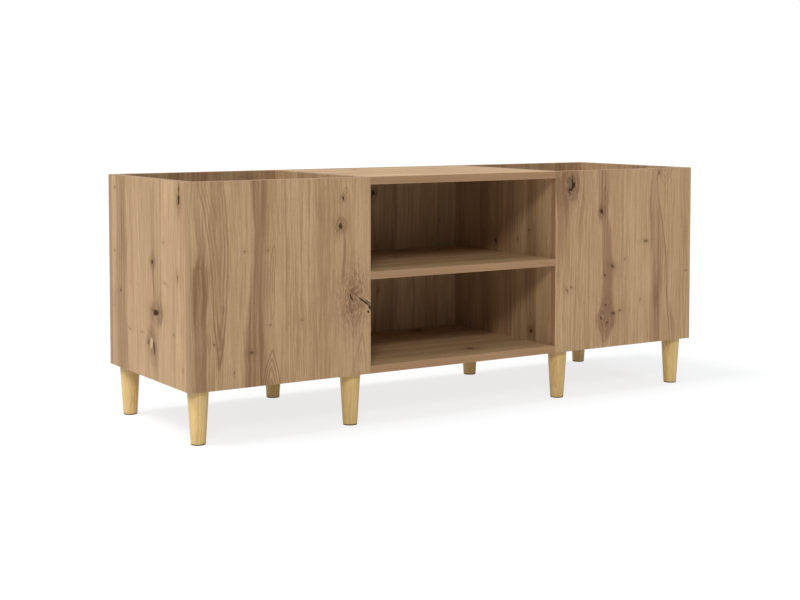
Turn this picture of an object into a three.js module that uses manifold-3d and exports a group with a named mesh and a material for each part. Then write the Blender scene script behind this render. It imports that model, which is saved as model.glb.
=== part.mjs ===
// A record cabinet: two open-topped record bins with a shelved section between them, on eight
// tapered wooden legs. Millimetres, +Z up, +X to the viewer's right, +Y to the back. The origin is
// on the floor, under the middle of the cabinet.

import * as THREE from 'three';
import { mergeVertices } from 'three/addons/utils/BufferGeometryUtils.js';
import Module from 'manifold-3d';

const wasm = await Module();
wasm.setup();

// Carcass
const binWidth = 380;
const middleWidth = 450;
const cabinetDepth = 380;
const boxHeight = 380;
const boardThickness = 15;

// Legs, with a glide under each
const legHeight = 100;
const legTopRadius = 20;
const legFootRadius = 14;
const legFootRounding = 1.5;
const glideThickness = 2;
const glideInset = 2;
const glideStemRadius = 2;
const glideStemLength = 12;

// Hanger bolt, with a machine thread above and a wood screw below
const boltRadius = 4;
const woodScrewRadius = 3.5;
const woodScrewLength = 34;
const woodScrewTipLength = 6;
const boltTipGap = 1;

// Threaded insert, sunk into the underside of a bin's bottom
const insertWall = 2;
const insertCollarWidth = 1.5;
const insertCollarThickness = 1.2;
const insertEndWood = 2;
const insertEdgeWood = 6.4;

// Cam fitting, with a stud that draws a middle board against a bin
const camRadius = 7.5;
const camEndWood = 3;
const camSetback = 34;
const camSlotLength = 9;
const camSlotWidth = 1.6;
const camSlotDepth = 2.5;
const studRadius = 3;
const studEndWood = 5;
const studRowInset = 35;

// Fits
const fitClearance = 0.3;
const cutOverrun = 2;

// Facets of the round pieces
const legSides = 24;
const hardwareSides = 12;
const camSides = 16;
const roundingSteps = 2;

// Levels and edges that follow from the sizes above
const boxBottom = legHeight;
const boxTop = boxBottom + boxHeight;
const boxMidHeight = boxBottom + boxHeight / 2;
const frontFace = -cabinetDepth / 2;
const backFace = cabinetDepth / 2;
const sideFront = frontFace + boardThickness;
const sideBack = backFace - boardThickness;
const middleEdge = middleWidth / 2;
const dividerOuterFace = middleEdge + boardThickness;
const cabinetEdge = middleEdge + binWidth;
const outerSideInnerFace = cabinetEdge - boardThickness;
const binFloor = boxBottom + boardThickness;

// Insert and leg sizes that follow
const insertBoreRadius = boltRadius + fitClearance;
const insertRadius = insertBoreRadius + insertWall;
const insertCollarRadius = insertRadius + insertCollarWidth;
const insertLength = boardThickness - insertEndWood;
const legSetIn = insertEdgeWood + insertCollarRadius + fitClearance;
const glideRadius = legFootRadius - glideInset;
const boltTopHeight = legHeight + insertLength - boltTipGap;

// Cam sizes that follow
const camDepth = boardThickness - camEndWood;
const studLength = camSetback + boardThickness - studEndWood;
const studHeight = boardThickness / 2;

// Finishes, a new material for each piece
const oakBoard = () => new THREE.MeshStandardMaterial({ color: 0xb3926e, roughness: 0.62, metalness: 0 });
const turnedWood = () => new THREE.MeshStandardMaterial({ color: 0xd8b67c, roughness: 0.5, metalness: 0 });
const darkPlastic = () => new THREE.MeshStandardMaterial({ color: 0x24211e, roughness: 0.7, metalness: 0 });
const zincSteel = () => new THREE.MeshStandardMaterial({ color: 0xb4b7ba, roughness: 0.35, metalness: 1 });
const brass = () => new THREE.MeshStandardMaterial({ color: 0xc2a25a, roughness: 0.35, metalness: 1 });

const cabinet = new THREE.Group();
cabinet.name = 'record_cabinet';

// Turns a closed geometry into a solid that can be cut and joined
function solidOf(geometry) {
  const bare = geometry.clone();
  bare.deleteAttribute('normal');
  bare.deleteAttribute('uv');
  const welded = mergeVertices(bare);
  return new wasm.Manifold(new wasm.Mesh({
    numProp: 3,
    vertProperties: Float32Array.from(welded.attributes.position.array),
    triVerts: Uint32Array.from(welded.index.array),
  }));
}

// Turns a solid back into a geometry
function geometryOf(solid) {
  const mesh = solid.getMesh();
  const geometry = new THREE.BufferGeometry();
  geometry.setAttribute('position', new THREE.BufferAttribute(mesh.vertProperties, 3));
  geometry.setIndex(new THREE.BufferAttribute(mesh.triVerts, 1));
  geometry.computeVertexNormals();
  return geometry;
}

// Adds one named piece to a group
function addPiece(group, name, geometry, material, position = new THREE.Vector3()) {
  const piece = new THREE.Mesh(geometry, material);
  piece.name = name;
  piece.position.copy(position);
  group.add(piece);
  return piece;
}

// Adds a flat board between two opposite corners, less the pockets given in the cabinet's frame
function addBoard(name, low, high, pockets = []) {
  const corners = new THREE.Box3(new THREE.Vector3(...low), new THREE.Vector3(...high));
  const size = corners.getSize(new THREE.Vector3());
  const centre = corners.getCenter(new THREE.Vector3());
  const blank = new THREE.BoxGeometry(size.x, size.y, size.z);
  if (pockets.length === 0) {
    return addPiece(cabinet, name, blank, oakBoard(), centre);
  }
  let solid = solidOf(blank);
  for (const pocket of pockets) {
    solid = solid.subtract(pocket.translate(-centre.x, -centre.y, -centre.z));
  }
  return addPiece(cabinet, name, geometryOf(solid), oakBoard(), centre);
}

// A solid of revolution about +Z, from points given as [radius, height]
function turned(points, sides) {
  const profile = points.map(([radius, height]) => new THREE.Vector2(radius, height));
  return new THREE.LatheGeometry(profile, sides).rotateX(Math.PI / 2);
}

// A round bar along +Z, from one height to another
function uprightBar(radius, low, high, sides) {
  return turned([[0, low], [radius, low], [radius, high], [0, high]], sides);
}

// The cam and its stud, grown all round by a clearance. The cam's face lies at height 0 with its
// axis on +Z, and the stud runs along +X.
function camAndStud(clearance, faceOverrun) {
  const cam = uprightBar(camRadius + clearance, -faceOverrun, camDepth + clearance, camSides);
  const stud = uprightBar(studRadius + clearance, 0, studLength + clearance, hardwareSides);
  stud.rotateY(Math.PI / 2);
  stud.translate(0, 0, studHeight);
  return solidOf(cam).add(solidOf(stud));
}

// The cross slot that turns the cam
function crossSlot() {
  const height = camSlotDepth + cutOverrun;
  const along = new THREE.BoxGeometry(camSlotLength, camSlotWidth, height);
  const across = new THREE.BoxGeometry(camSlotWidth, camSlotLength, height);
  const bothArms = solidOf(along).add(solidOf(across));
  return bothArms.translate(0, 0, camSlotDepth - height / 2);
}

// The middle boards, by the height of their undersides
const middleBoards = [
  { name: 'middle_top', camName: 'cam_top', underside: boxTop - boardThickness, back: backFace },
  { name: 'middle_shelf', camName: 'cam_shelf', underside: boxMidHeight - boardThickness / 2, back: sideBack },
  { name: 'middle_bottom', camName: 'cam_bottom', underside: boxBottom, back: backFace },
];

const hands = [
  { name: 'left', side: -1 },
  { name: 'right', side: 1 },
];

const studRows = [
  { name: 'front', y: sideFront + studRowInset },
  { name: 'back', y: sideBack - studRowInset },
];

// Where each cam fitting stands, and which way its stud points
const camPlaces = middleBoards.flatMap((board) => hands.flatMap((hand) => studRows.map((row) => ({
  name: `${board.camName}_${hand.name}_${row.name}`,
  board: board.name,
  hand: hand.name,
  turn: hand.side > 0 ? 0 : Math.PI,
  position: new THREE.Vector3(hand.side * (middleEdge - camSetback), row.y, board.underside),
}))));

// The pocket that a cam fitting needs, in the cabinet's frame
function camPocket(place) {
  const pocket = camAndStud(fitClearance, cutOverrun);
  const turnedPocket = pocket.rotate(0, 0, THREE.MathUtils.radToDeg(place.turn));
  return turnedPocket.translate(place.position.x, place.position.y, place.position.z);
}

// The middle section: top, shelf, bottom and back
function addMiddleSection() {
  for (const board of middleBoards) {
    const pockets = camPlaces.filter((place) => place.board === board.name).map(camPocket);
    const low = [-middleEdge, frontFace, board.underside];
    const high = [middleEdge, board.back, board.underside + boardThickness];
    addBoard(board.name, low, high, pockets);
  }
  const backLow = [-middleEdge, sideBack, binFloor];
  const backHigh = [middleEdge, backFace, boxTop - boardThickness];
  addBoard('middle_back', backLow, backHigh);
}

// The twelve cam fittings
function addCamFittings() {
  const fitting = geometryOf(camAndStud(0, 0).subtract(crossSlot()));
  for (const place of camPlaces) {
    const piece = addPiece(cabinet, place.name, fitting.clone(), zincSteel(), place.position);
    piece.rotation.z = place.turn;
  }
}

// The four leg places under one bin
function legPlaces(hand) {
  const columns = [
    { name: 'outer', x: outerSideInnerFace - legSetIn },
    { name: 'inner', x: dividerOuterFace + legSetIn },
  ];
  const rows = [
    { name: 'front', y: sideFront + legSetIn },
    { name: 'back', y: sideBack - legSetIn },
  ];
  return rows.flatMap((row) => columns.map((column) => ({
    name: `${hand.name}_${row.name}_${column.name}`,
    position: new THREE.Vector3(hand.side * column.x, row.y, 0),
  })));
}

// The stepped hole that a threaded insert needs, in the cabinet's frame
function insertPocket(place) {
  const holeRadius = insertRadius + fitClearance;
  const holeTop = boxBottom + insertLength + fitClearance;
  const sinkRadius = insertCollarRadius + fitClearance;
  const sinkTop = boxBottom + insertCollarThickness + fitClearance;
  const hole = uprightBar(holeRadius, boxBottom - cutOverrun, holeTop, hardwareSides);
  const sink = uprightBar(sinkRadius, boxBottom - cutOverrun, sinkTop, hardwareSides);
  const pocket = solidOf(hole).add(solidOf(sink));
  return pocket.translate(place.position.x, place.position.y, 0);
}

// One open-topped bin: the front and back lie over the edges of the sides
function addBin(hand) {
  const span = (from, to) => (hand.side > 0 ? [from, to] : [-to, -from]);
  const [binLeft, binRight] = span(middleEdge, cabinetEdge);
  const [dividerLeft, dividerRight] = span(middleEdge, dividerOuterFace);
  const [outerLeft, outerRight] = span(outerSideInnerFace, cabinetEdge);
  const [floorLeft, floorRight] = span(dividerOuterFace, outerSideInnerFace);
  const studPockets = camPlaces.filter((place) => place.hand === hand.name).map(camPocket);
  const insertPockets = legPlaces(hand).map(insertPocket);
  const prefix = `${hand.name}_bin`;
  addBoard(`${prefix}_front`, [binLeft, frontFace, boxBottom], [binRight, sideFront, boxTop]);
  addBoard(`${prefix}_back`, [binLeft, sideBack, boxBottom], [binRight, backFace, boxTop]);
  addBoard(`${prefix}_outer_side`, [outerLeft, sideFront, boxBottom], [outerRight, sideBack, boxTop]);
  addBoard(
    `${prefix}_inner_side`,
    [dividerLeft, sideFront, boxBottom],
    [dividerRight, sideBack, boxTop],
    studPockets,
  );
  addBoard(
    `${prefix}_bottom`,
    [floorLeft, sideFront, boxBottom],
    [floorRight, sideBack, binFloor],
    insertPockets,
  );
}

// A leg: a tapered round foot, with a bore for the hanger bolt and a hole for the glide's stem
function legGeometry() {
  const stemHoleRadius = glideStemRadius + fitClearance;
  const stemHoleTop = glideThickness + glideStemLength + fitClearance;
  const boreRadius = woodScrewRadius + fitClearance;
  const boreEnd = legHeight - woodScrewLength - fitClearance;
  const rimCentreRadius = legFootRadius - legFootRounding;
  const rimCentreHeight = glideThickness + legFootRounding;
  const rim = [];
  for (let step = 0; step <= roundingSteps; step += 1) {
    const angle = (step / roundingSteps) * (Math.PI / 2);
    const radius = rimCentreRadius + legFootRounding * Math.sin(angle);
    const height = rimCentreHeight - legFootRounding * Math.cos(angle);
    rim.push([radius, height]);
  }
  const profile = [
    [0, stemHoleTop],
    [stemHoleRadius, stemHoleTop],
    [stemHoleRadius, glideThickness],
    ...rim,
    [legTopRadius, legHeight],
    [boreRadius, legHeight],
    [boreRadius, boreEnd],
    [0, boreEnd],
  ];
  return turned(profile, legSides);
}

// A glide: a flat disc with a stem that is pressed up into the leg
function glideGeometry() {
  const stemTop = glideThickness + glideStemLength;
  const profile = [
    [0, 0],
    [glideRadius, 0],
    [glideRadius, glideThickness],
    [glideStemRadius, glideThickness],
    [glideStemRadius, stemTop],
    [0, stemTop],
  ];
  return turned(profile, hardwareSides);
}

// A hanger bolt: a pointed wood screw in the leg, and a machine thread in the insert
function hangerBoltGeometry() {
  const tipHeight = legHeight - woodScrewLength;
  const profile = [
    [0, tipHeight],
    [woodScrewRadius, tipHeight + woodScrewTipLength],
    [woodScrewRadius, legHeight],
    [boltRadius, legHeight],
    [boltRadius, boltTopHeight],
    [0, boltTopHeight],
  ];
  return turned(profile, hardwareSides);
}

// A threaded insert: a sleeve with a collar that lies flush with the underside of the board
function insertGeometry() {
  const top = boxBottom + insertLength;
  const collarTop = boxBottom + insertCollarThickness;
  const profile = [
    [insertBoreRadius, boxBottom],
    [insertCollarRadius, boxBottom],
    [insertCollarRadius, collarTop],
    [insertRadius, collarTop],
    [insertRadius, top],
    [insertBoreRadius, top],
    [insertBoreRadius, boxBottom],
  ];
  return turned(profile, hardwareSides);
}

// One leg with its glide, hanger bolt and insert
function addLeg(place) {
  const leg = new THREE.Group();
  leg.position.copy(place.position);
  addPiece(leg, `leg_${place.name}`, legGeometry(), turnedWood());
  addPiece(leg, `glide_${place.name}`, glideGeometry(), darkPlastic());
  addPiece(leg, `hanger_bolt_${place.name}`, hangerBoltGeometry(), zincSteel());
  addPiece(leg, `insert_${place.name}`, insertGeometry(), brass());
  cabinet.add(leg);
}

addMiddleSection();
addCamFittings();
for (const hand of hands) {
  addBin(hand);
  for (const place of legPlaces(hand)) {
    addLeg(place);
  }
}

export default cabinet;
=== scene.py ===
"""Dresses the record cabinet: decor-faced boards, turned legs, glides, covers and metal fittings.

Every length is in metres in the cabinet's own frame unless a name says otherwise. The cabinet
stands on the floor at height 0, with +X to the viewer's right and +Y to the back.
"""

from __future__ import annotations

import logging
import math
from dataclasses import dataclass
from enum import Enum
from typing import Sequence

import bmesh
import bpy
import numpy as np
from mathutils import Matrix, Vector

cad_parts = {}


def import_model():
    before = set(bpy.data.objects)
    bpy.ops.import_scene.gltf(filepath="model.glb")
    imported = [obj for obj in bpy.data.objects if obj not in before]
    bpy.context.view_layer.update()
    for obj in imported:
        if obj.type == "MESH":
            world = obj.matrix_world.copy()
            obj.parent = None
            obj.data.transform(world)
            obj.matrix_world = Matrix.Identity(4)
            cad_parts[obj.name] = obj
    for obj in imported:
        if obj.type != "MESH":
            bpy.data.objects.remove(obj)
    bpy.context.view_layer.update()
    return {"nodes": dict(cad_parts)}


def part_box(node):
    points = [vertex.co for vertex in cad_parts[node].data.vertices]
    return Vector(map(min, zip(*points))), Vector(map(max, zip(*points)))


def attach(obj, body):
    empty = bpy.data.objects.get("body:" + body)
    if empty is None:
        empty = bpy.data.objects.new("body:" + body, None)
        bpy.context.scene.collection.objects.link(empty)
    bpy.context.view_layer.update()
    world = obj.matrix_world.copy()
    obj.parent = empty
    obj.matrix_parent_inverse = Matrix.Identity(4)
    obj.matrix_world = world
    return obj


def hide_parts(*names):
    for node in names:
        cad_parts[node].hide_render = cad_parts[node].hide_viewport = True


LOG = logging.getLogger("record_cabinet")

MM = 0.001
BODY = "root"
MERGE_DISTANCE = 0.002 * MM
SHARP_DEGREES = 50

# A range is its two ends, and an input takes a socket to link or a plain value to hold.
Range = tuple[float, float]
Colour = tuple[float, float, float, float]
Socket = bpy.types.NodeSocket
Input = Socket | float | tuple[float, ...]

WHITE: Colour = (1.0, 1.0, 1.0, 1.0)
FALLING: Range = (1.0, 0.0)


def linear(red: float, green: float, blue: float) -> Colour:
    """A display colour as the linear colour that a shader takes.

    Each channel is (value + 0.055) / 1.055 raised to 2.4, or value / 12.92 where it is dark.

    Args:
        red: The red channel, 0 to 255.
        green: The green channel, 0 to 255.
        blue: The blue channel, 0 to 255.

    Returns:
        The three linear channels, with a full alpha.
    """
    shares = np.array([red, green, blue]) / 255.0
    bright = ((shares + 0.055) / 1.055) ** 2.4
    values = np.where(shares <= 0.04045, shares / 12.92, bright)
    return (float(values[0]), float(values[1]), float(values[2]), 1.0)


class Axis(Enum):
    """A direction of the cabinet's frame, with its place in a point."""

    X = 0
    Y = 1
    Z = 2


class Hand(Enum):
    """A side of the cabinet, with its word in the names of CAD nodes."""

    LEFT = "left"
    RIGHT = "right"


class Surface(Enum):
    """A kind of surface on a board, with its material slot."""

    FACE = 0
    EDGE = 1
    BORE = 2


class KnotKind(Enum):
    """How a knot shows: the strength of its core, halo, grain bend in shares and swell in metres."""

    PIN = (0.52, 0.45, 0.30, 0.0015)
    KNOT = (0.80, 0.85, 0.75, 0.0120)
    OPEN = (0.97, 1.00, 0.85, 0.0200)
    BURL = (0.0, 0.75, 0.60, 0.0160)
    SWIRL = (0.0, 0.30, 0.75, 0.0300)
    CRACK = (0.97, 0.25, 0.20, 0.0)
    PALE = (-0.80, 0.70, 0.20, 0.0040)
    DULL = (-0.26, 0.0, 0.0, 0.0)


@dataclass(frozen=True)
class Knot:
    """One knot in a board's face, in millimetres from the middle of the face."""

    across: float
    along: float
    half_width: float
    half_length: float
    kind: KnotKind = KnotKind.KNOT
    turn_degrees: float = 0.0


PathRow = tuple[float, float, float, float]


@dataclass(frozen=True)
class Band:
    """A dark band that wanders along the grain.

    Each row of its path is a place along and a place across the face and a half width, in
    millimetres from the middle of the face, and a depth as a share.
    """

    path: tuple[PathRow, ...]


@dataclass(frozen=True)
class Arches:
    """Nested growth lines that close where the half width of their path comes to nothing.

    The path is like a band's. The outermost line is its outline, and the others lie inside it,
    each a spacing in millimetres further in.
    """

    path: tuple[PathRow, ...]
    spacing: float
    count: int


@dataclass(frozen=True)
class Decor:
    """The grain of one board's face, with the places across it where its staves meet."""

    seed: float
    staves: tuple[float, ...]
    bands: tuple[Band, ...]
    arches: tuple[Arches, ...]
    knots: tuple[Knot, ...]


@dataclass(frozen=True)
class DecorDraw:
    """Draws the decor of a board that has no grain of its own to follow.

    A reach is a share of the half face, and a change is a factor. Widths, the spacing, the wander
    and the lean are in millimetres. An arch's tip, middle and end are each a half width and a depth.
    """

    stave_count: int = 3
    stave_reach: float = 0.7
    band_count: int = 4
    band_reach: float = 0.9
    band_rows: int = 5
    band_wander: float = 6.0
    band_width: Range = (5.0, 17.0)
    band_width_change: Range = (0.7, 1.3)
    band_depth: Range = (0.3, 0.8)
    band_depth_change: Range = (0.6, 1.2)
    arches_count: int = 2
    arches_reach: float = 0.8
    arch_end_reach: float = 0.95
    arch_lean: float = 3.0
    arch_tip: Range = (0.1, 0.7)
    arch_middle: Range = (9.0, 0.7)
    arch_end: Range = (17.0, 0.2)
    arch_spacing: Range = (4.0, 7.0)
    arch_lines: int = 3
    knot_every: int = 3
    knot_reach: float = 0.85
    knot_width: Range = (3.2, 5.5)
    pin_width: Range = (1.1, 1.8)
    knot_stretch: Range = (1.2, 1.9)
    knot_turn_degrees: float = 25.0

    def decor(self, seed: int, half_width: float, half_length: float, knot_count: int) -> Decor:
        """Draws one decor.

        Args:
            seed: The seed of the draw.
            half_width: Half of the face across the grain, in millimetres.
            half_length: Half of the face along the grain, in millimetres.
            knot_count: How many knots and pins it has.

        Returns:
            The decor.
        """
        draw = np.random.default_rng(seed)
        places = np.sort(draw.uniform(-self.stave_reach, self.stave_reach, self.stave_count))
        staves = tuple(float(share * half_width) for share in places)
        rows = np.linspace(-half_length, half_length, self.band_rows)
        middles = draw.uniform(-self.band_reach, self.band_reach, self.band_count) * half_width
        bands = tuple(self._band(draw, middle, rows) for middle in middles)
        middles = draw.uniform(-self.arches_reach, self.arches_reach, self.arches_count) * half_width
        arches = tuple(self._arches(draw, middle, half_length) for middle in middles)
        half_face = (half_width, half_length)
        knots = tuple(self._knot(draw, index, half_face) for index in range(knot_count))
        return Decor(float(seed), staves, bands, arches, knots)

    def _band(self, draw: np.random.Generator, middle: float, rows: np.ndarray) -> Band:
        """Draws one band.

        Args:
            draw: The draw.
            middle: The place across the face that it wanders about.
            rows: The places along the face of its path's rows.

        Returns:
            The band.
        """
        across = middle + draw.uniform(-self.band_wander, self.band_wander, len(rows))
        width = draw.uniform(*self.band_width) * draw.uniform(*self.band_width_change, len(rows))
        depth = draw.uniform(*self.band_depth) * draw.uniform(*self.band_depth_change, len(rows))
        path = np.stack([rows, across, width, depth], axis=1)
        return Band(tuple(map(tuple, path.tolist())))

    def _arches(self, draw: np.random.Generator, middle: float, half_length: float) -> Arches:
        """Draws one set of arches.

        Args:
            draw: The draw.
            middle: The place across the face of its tip and its end.
            half_length: Half of the face along the grain.

        Returns:
            The arches.
        """
        tip, end = sorted(draw.uniform(-self.arch_end_reach, self.arch_end_reach, 2) * half_length)
        path = (
            (tip, middle, *self.arch_tip),
            ((tip + end) / 2, middle + self.arch_lean, *self.arch_middle),
            (end, middle, *self.arch_end),
        )
        return Arches(path, float(draw.uniform(*self.arch_spacing)), self.arch_lines)

    def _knot(self, draw: np.random.Generator, index: int, half_face: Range) -> Knot:
        """Draws one knot, or a pin where its number isn't a multiple of knot_every.

        Args:
            draw: The draw.
            index: The knot's number.
            half_face: Half of the face across and along the grain.

        Returns:
            The knot.
        """
        small = index % self.knot_every != 0
        width = float(draw.uniform(*(self.pin_width if small else self.knot_width)))
        place = draw.uniform(-self.knot_reach, self.knot_reach, 2) * half_face
        length = width * float(draw.uniform(*self.knot_stretch))
        kind = KnotKind.PIN if small else KnotKind.KNOT
        turn = float(draw.uniform(-self.knot_turn_degrees, self.knot_turn_degrees))
        return Knot(float(place[0]), float(place[1]), width, length, kind, turn)


DRAW = DecorDraw()


@dataclass(frozen=True)
class Layer:
    """A layer of noise: its cells to a metre on each axis, its finer layers, and its shift."""

    cells: tuple[float, float, float]
    detail: float
    shift: float = 0.0


@dataclass(frozen=True)
class Mask:
    """A layer of noise cut at two levels, and how strong it is below and above them."""

    layer: Layer
    levels: Range
    strengths: Range = (0.0, 1.0)


class Wiring:
    """Lays shader nodes into one node tree and links them in reading order."""

    noise_roughness: float = 0.55

    def __init__(self, tree: bpy.types.NodeTree) -> None:
        """Keeps the tree that the nodes go into."""
        self.tree = tree

    def add(self, kind: str, inputs: dict[int | str, Input], **settings: object) -> bpy.types.Node:
        """Adds one node.

        Args:
            kind: The node's type name.
            inputs: A value or a socket for each input, by place or by name.
            settings: The node's own settings, which are made before its inputs.

        Returns:
            The node.
        """
        node = self.tree.nodes.new(kind)
        for name, value in settings.items():
            setattr(node, name, value)
        for key, value in inputs.items():
            if isinstance(value, Socket):
                self.tree.links.new(value, node.inputs[key])
            else:
                node.inputs[key].default_value = value
        return node

    def group(self, tree: bpy.types.NodeTree, inputs: dict[str, Input]) -> dict[str, Socket]:
        """Adds a node of a group, fills its inputs by name and returns its outputs by name."""
        return dict(self.add("ShaderNodeGroup", inputs, node_tree=tree).outputs.items())

    def math(self, operation: str, first: Input, second: Input = 0.0, third: Input = 0.0) -> Socket:
        """One Math node's result."""
        inputs = {0: first, 1: second, 2: third}
        return self.add("ShaderNodeMath", inputs, operation=operation).outputs[0]

    def vector(self, operation: str, first: Input, second: Input) -> Socket:
        """One Vector Math node's vector."""
        return self.add("ShaderNodeVectorMath", {0: first, 1: second}, operation=operation).outputs[0]

    def point(self, across: Input, along: Input, third: Input) -> Socket:
        """Three values as one vector."""
        return self.add("ShaderNodeCombineXYZ", {0: across, 1: along, 2: third}).outputs[0]

    def split(self, vector: Input) -> tuple[Socket, ...]:
        """A vector's three values."""
        return tuple(self.add("ShaderNodeSeparateXYZ", {0: vector}).outputs)

    def noise(self, vector: Input, layer: Layer) -> Socket:
        """A layer of noise, read at a point that is stretched to its cells and then shifted.

        Args:
            vector: The point to read at.
            layer: The layer.

        Returns:
            The noise value, 0 to 1 and mostly near a half.
        """
        scaled = self.vector("MULTIPLY", vector, layer.cells)
        moved = self.vector("ADD", scaled, (0.0, 0.0, layer.shift))
        inputs = {
            "Vector": moved, "Scale": 1.0, "Detail": layer.detail, "Roughness": self.noise_roughness,
        }
        return self.add("ShaderNodeTexNoise", inputs).outputs[0]

    def sway(self, vector: Input, layer: Layer) -> Socket:
        """A layer of noise that goes from minus a half to a half."""
        return self.math("SUBTRACT", self.noise(vector, layer), 0.5)

    def span(self, value: Input, levels: Range, strengths: Range = (0.0, 1.0)) -> Socket:
        """A value taken smoothly from two levels to two strengths.

        Args:
            value: The value.
            levels: The two levels that it runs between.
            strengths: What it gives at the two levels and beyond them.

        Returns:
            The socket.
        """
        inputs = {
            "Value": value, "From Min": levels[0], "From Max": levels[1], "To Min": strengths[0],
            "To Max": strengths[1],
        }
        return self.add("ShaderNodeMapRange", inputs, interpolation_type="SMOOTHSTEP").outputs[0]

    def mask(self, vector: Input, mask: Mask) -> Socket:
        """A mask's strength at a point."""
        return self.span(self.noise(vector, mask.layer), mask.levels, mask.strengths)

    def drawn(self, number: Input) -> Socket:
        """A value, 0 to 1, that is drawn anew for each whole number."""
        inputs = {"W": number}
        return self.add("ShaderNodeTexWhiteNoise", inputs, noise_dimensions="1D").outputs[0]

    def weighted(self, *terms: tuple[Input, float]) -> Socket:
        """The sum of values, each times its weight.

        Args:
            terms: Each value with its weight.

        Returns:
            The sum.
        """
        value, weight = terms[0]
        total = self.math("MULTIPLY", value, weight)
        for value, weight in terms[1:]:
            total = self.math("MULTIPLY_ADD", value, weight, total)
        return total

    def mix(self, share: Input, first: Input, second: Input) -> Socket:
        """Two colours mixed by a share of the second."""
        # A Mix node's colours are its inputs 6 and 7 and its output 2.
        return self.add("ShaderNodeMix", {0: share, 6: first, 7: second}, data_type="RGBA").outputs[2]

    def stain(self, colour: Input, tone: Input, mask: Input, strength: Input) -> Socket:
        """A colour drawn towards a tone by a mask times a strength."""
        return self.mix(self.math("MULTIPLY", mask, strength), colour, tone)


class NodeGroup:
    """A node group with named sockets, made once and used by many materials."""

    def __init__(
        self, name: str, inputs: Sequence[tuple[str, str]], outputs: Sequence[tuple[str, str]]
    ) -> None:
        """Makes the group and its sockets.

        Args:
            name: The group's name.
            inputs: A name and a socket type for each input.
            outputs: A name and a socket type for each output.
        """
        self.tree = bpy.data.node_groups.new(name, "ShaderNodeTree")
        for way, sockets in (("INPUT", inputs), ("OUTPUT", outputs)):
            for socket_name, kind in sockets:
                self.tree.interface.new_socket(name=socket_name, in_out=way, socket_type=kind)
        self.wiring = Wiring(self.tree)
        self.inputs = self.wiring.add("NodeGroupInput", {}).outputs

    def finish(self, results: dict[int | str, Input]) -> bpy.types.NodeTree:
        """Links the results to the group's outputs and returns the group's tree."""
        self.wiring.add("NodeGroupOutput", results)
        return self.tree


FLOAT = "NodeSocketFloat"
VECTOR = "NodeSocketVector"
COLOUR = "NodeSocketColor"


@dataclass(frozen=True)
class KnotFade:
    """How a knot fades with r, the distance from its middle in knot radii.

    The core is a smooth step at about r = 1 made ragged by noise. The halo is exp(-r*r / its
    fade), the bend draws the grain's coordinate towards the knot and the swell raises the growth
    rings, each by exp(-r*r / its own fade). A core below nothing lightens the board.
    """

    core_edge: Range = (0.65, 1.2)
    ragged: Layer = Layer((0.9, 0.9, 41.0), 3.0)
    raggedness: float = 1.5
    halo_fade: float = 9.0
    bend_fade: float = 6.0
    swell_fade: float = 8.0

    def group(self) -> bpy.types.NodeTree:
        """Builds the group that adds one knot to what the knots before it have made.

        Returns:
            The node group.
        """
        group = NodeGroup(
            "knot",
            [
                ("Grain", VECTOR), ("Middle", VECTOR), ("Radii", VECTOR), ("Turn", FLOAT),
                ("Strengths", VECTOR), ("Swell Height", FLOAT), ("Core", FLOAT), ("Pale", FLOAT),
                ("Halo", FLOAT), ("Bend", FLOAT), ("Swell", FLOAT),
            ],
            [("Core", FLOAT), ("Pale", FLOAT), ("Halo", FLOAT), ("Bend", FLOAT), ("Swell", FLOAT)],
        )
        wires, given = group.wiring, group.inputs
        offset = wires.vector("SUBTRACT", given["Grain"], given["Middle"])
        turning = {"Vector": offset, "Angle": given["Turn"]}
        turned = wires.add("ShaderNodeVectorRotate", turning, rotation_type="Z_AXIS").outputs[0]
        local = wires.vector("DIVIDE", turned, given["Radii"])
        radius = wires.add("ShaderNodeVectorMath", {0: local}, operation="LENGTH").outputs["Value"]
        ragged = wires.sway(wires.vector("ADD", local, given["Middle"]), self.ragged)
        worn_radius = wires.math("MULTIPLY_ADD", ragged, self.raggedness, radius)
        square = wires.math("MULTIPLY", radius, radius)
        across, _, _ = wires.split(offset)
        core_share, halo_share, bend_share = wires.split(given["Strengths"])
        core = wires.math("MULTIPLY", wires.span(worn_radius, self.core_edge, FALLING), core_share)
        halo = wires.math("MULTIPLY", self._fade(wires, square, self.halo_fade), halo_share)
        pull = wires.math("MULTIPLY", self._fade(wires, square, self.bend_fade), bend_share)
        bend = wires.math("MULTIPLY", across, pull)
        rise = wires.math("MULTIPLY", self._fade(wires, square, self.swell_fade), given["Swell Height"])
        return group.finish({
            "Core": wires.math("MAXIMUM", given["Core"], core),
            "Pale": wires.math("MAXIMUM", given["Pale"], wires.math("MULTIPLY", core, -1.0)),
            "Halo": wires.math("MAXIMUM", given["Halo"], halo),
            "Bend": wires.math("SUBTRACT", given["Bend"], bend),
            "Swell": wires.math("ADD", given["Swell"], rise),
        })

    @staticmethod
    def _fade(wires: Wiring, square: Input, fade: float) -> Socket:
        """The value of exp(-square / fade)."""
        return wires.math("EXPONENT", wires.math("MULTIPLY", square, -1 / fade))


PATH_REACH = 250 * MM
PATH_WIDTH = 60 * MM


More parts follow.
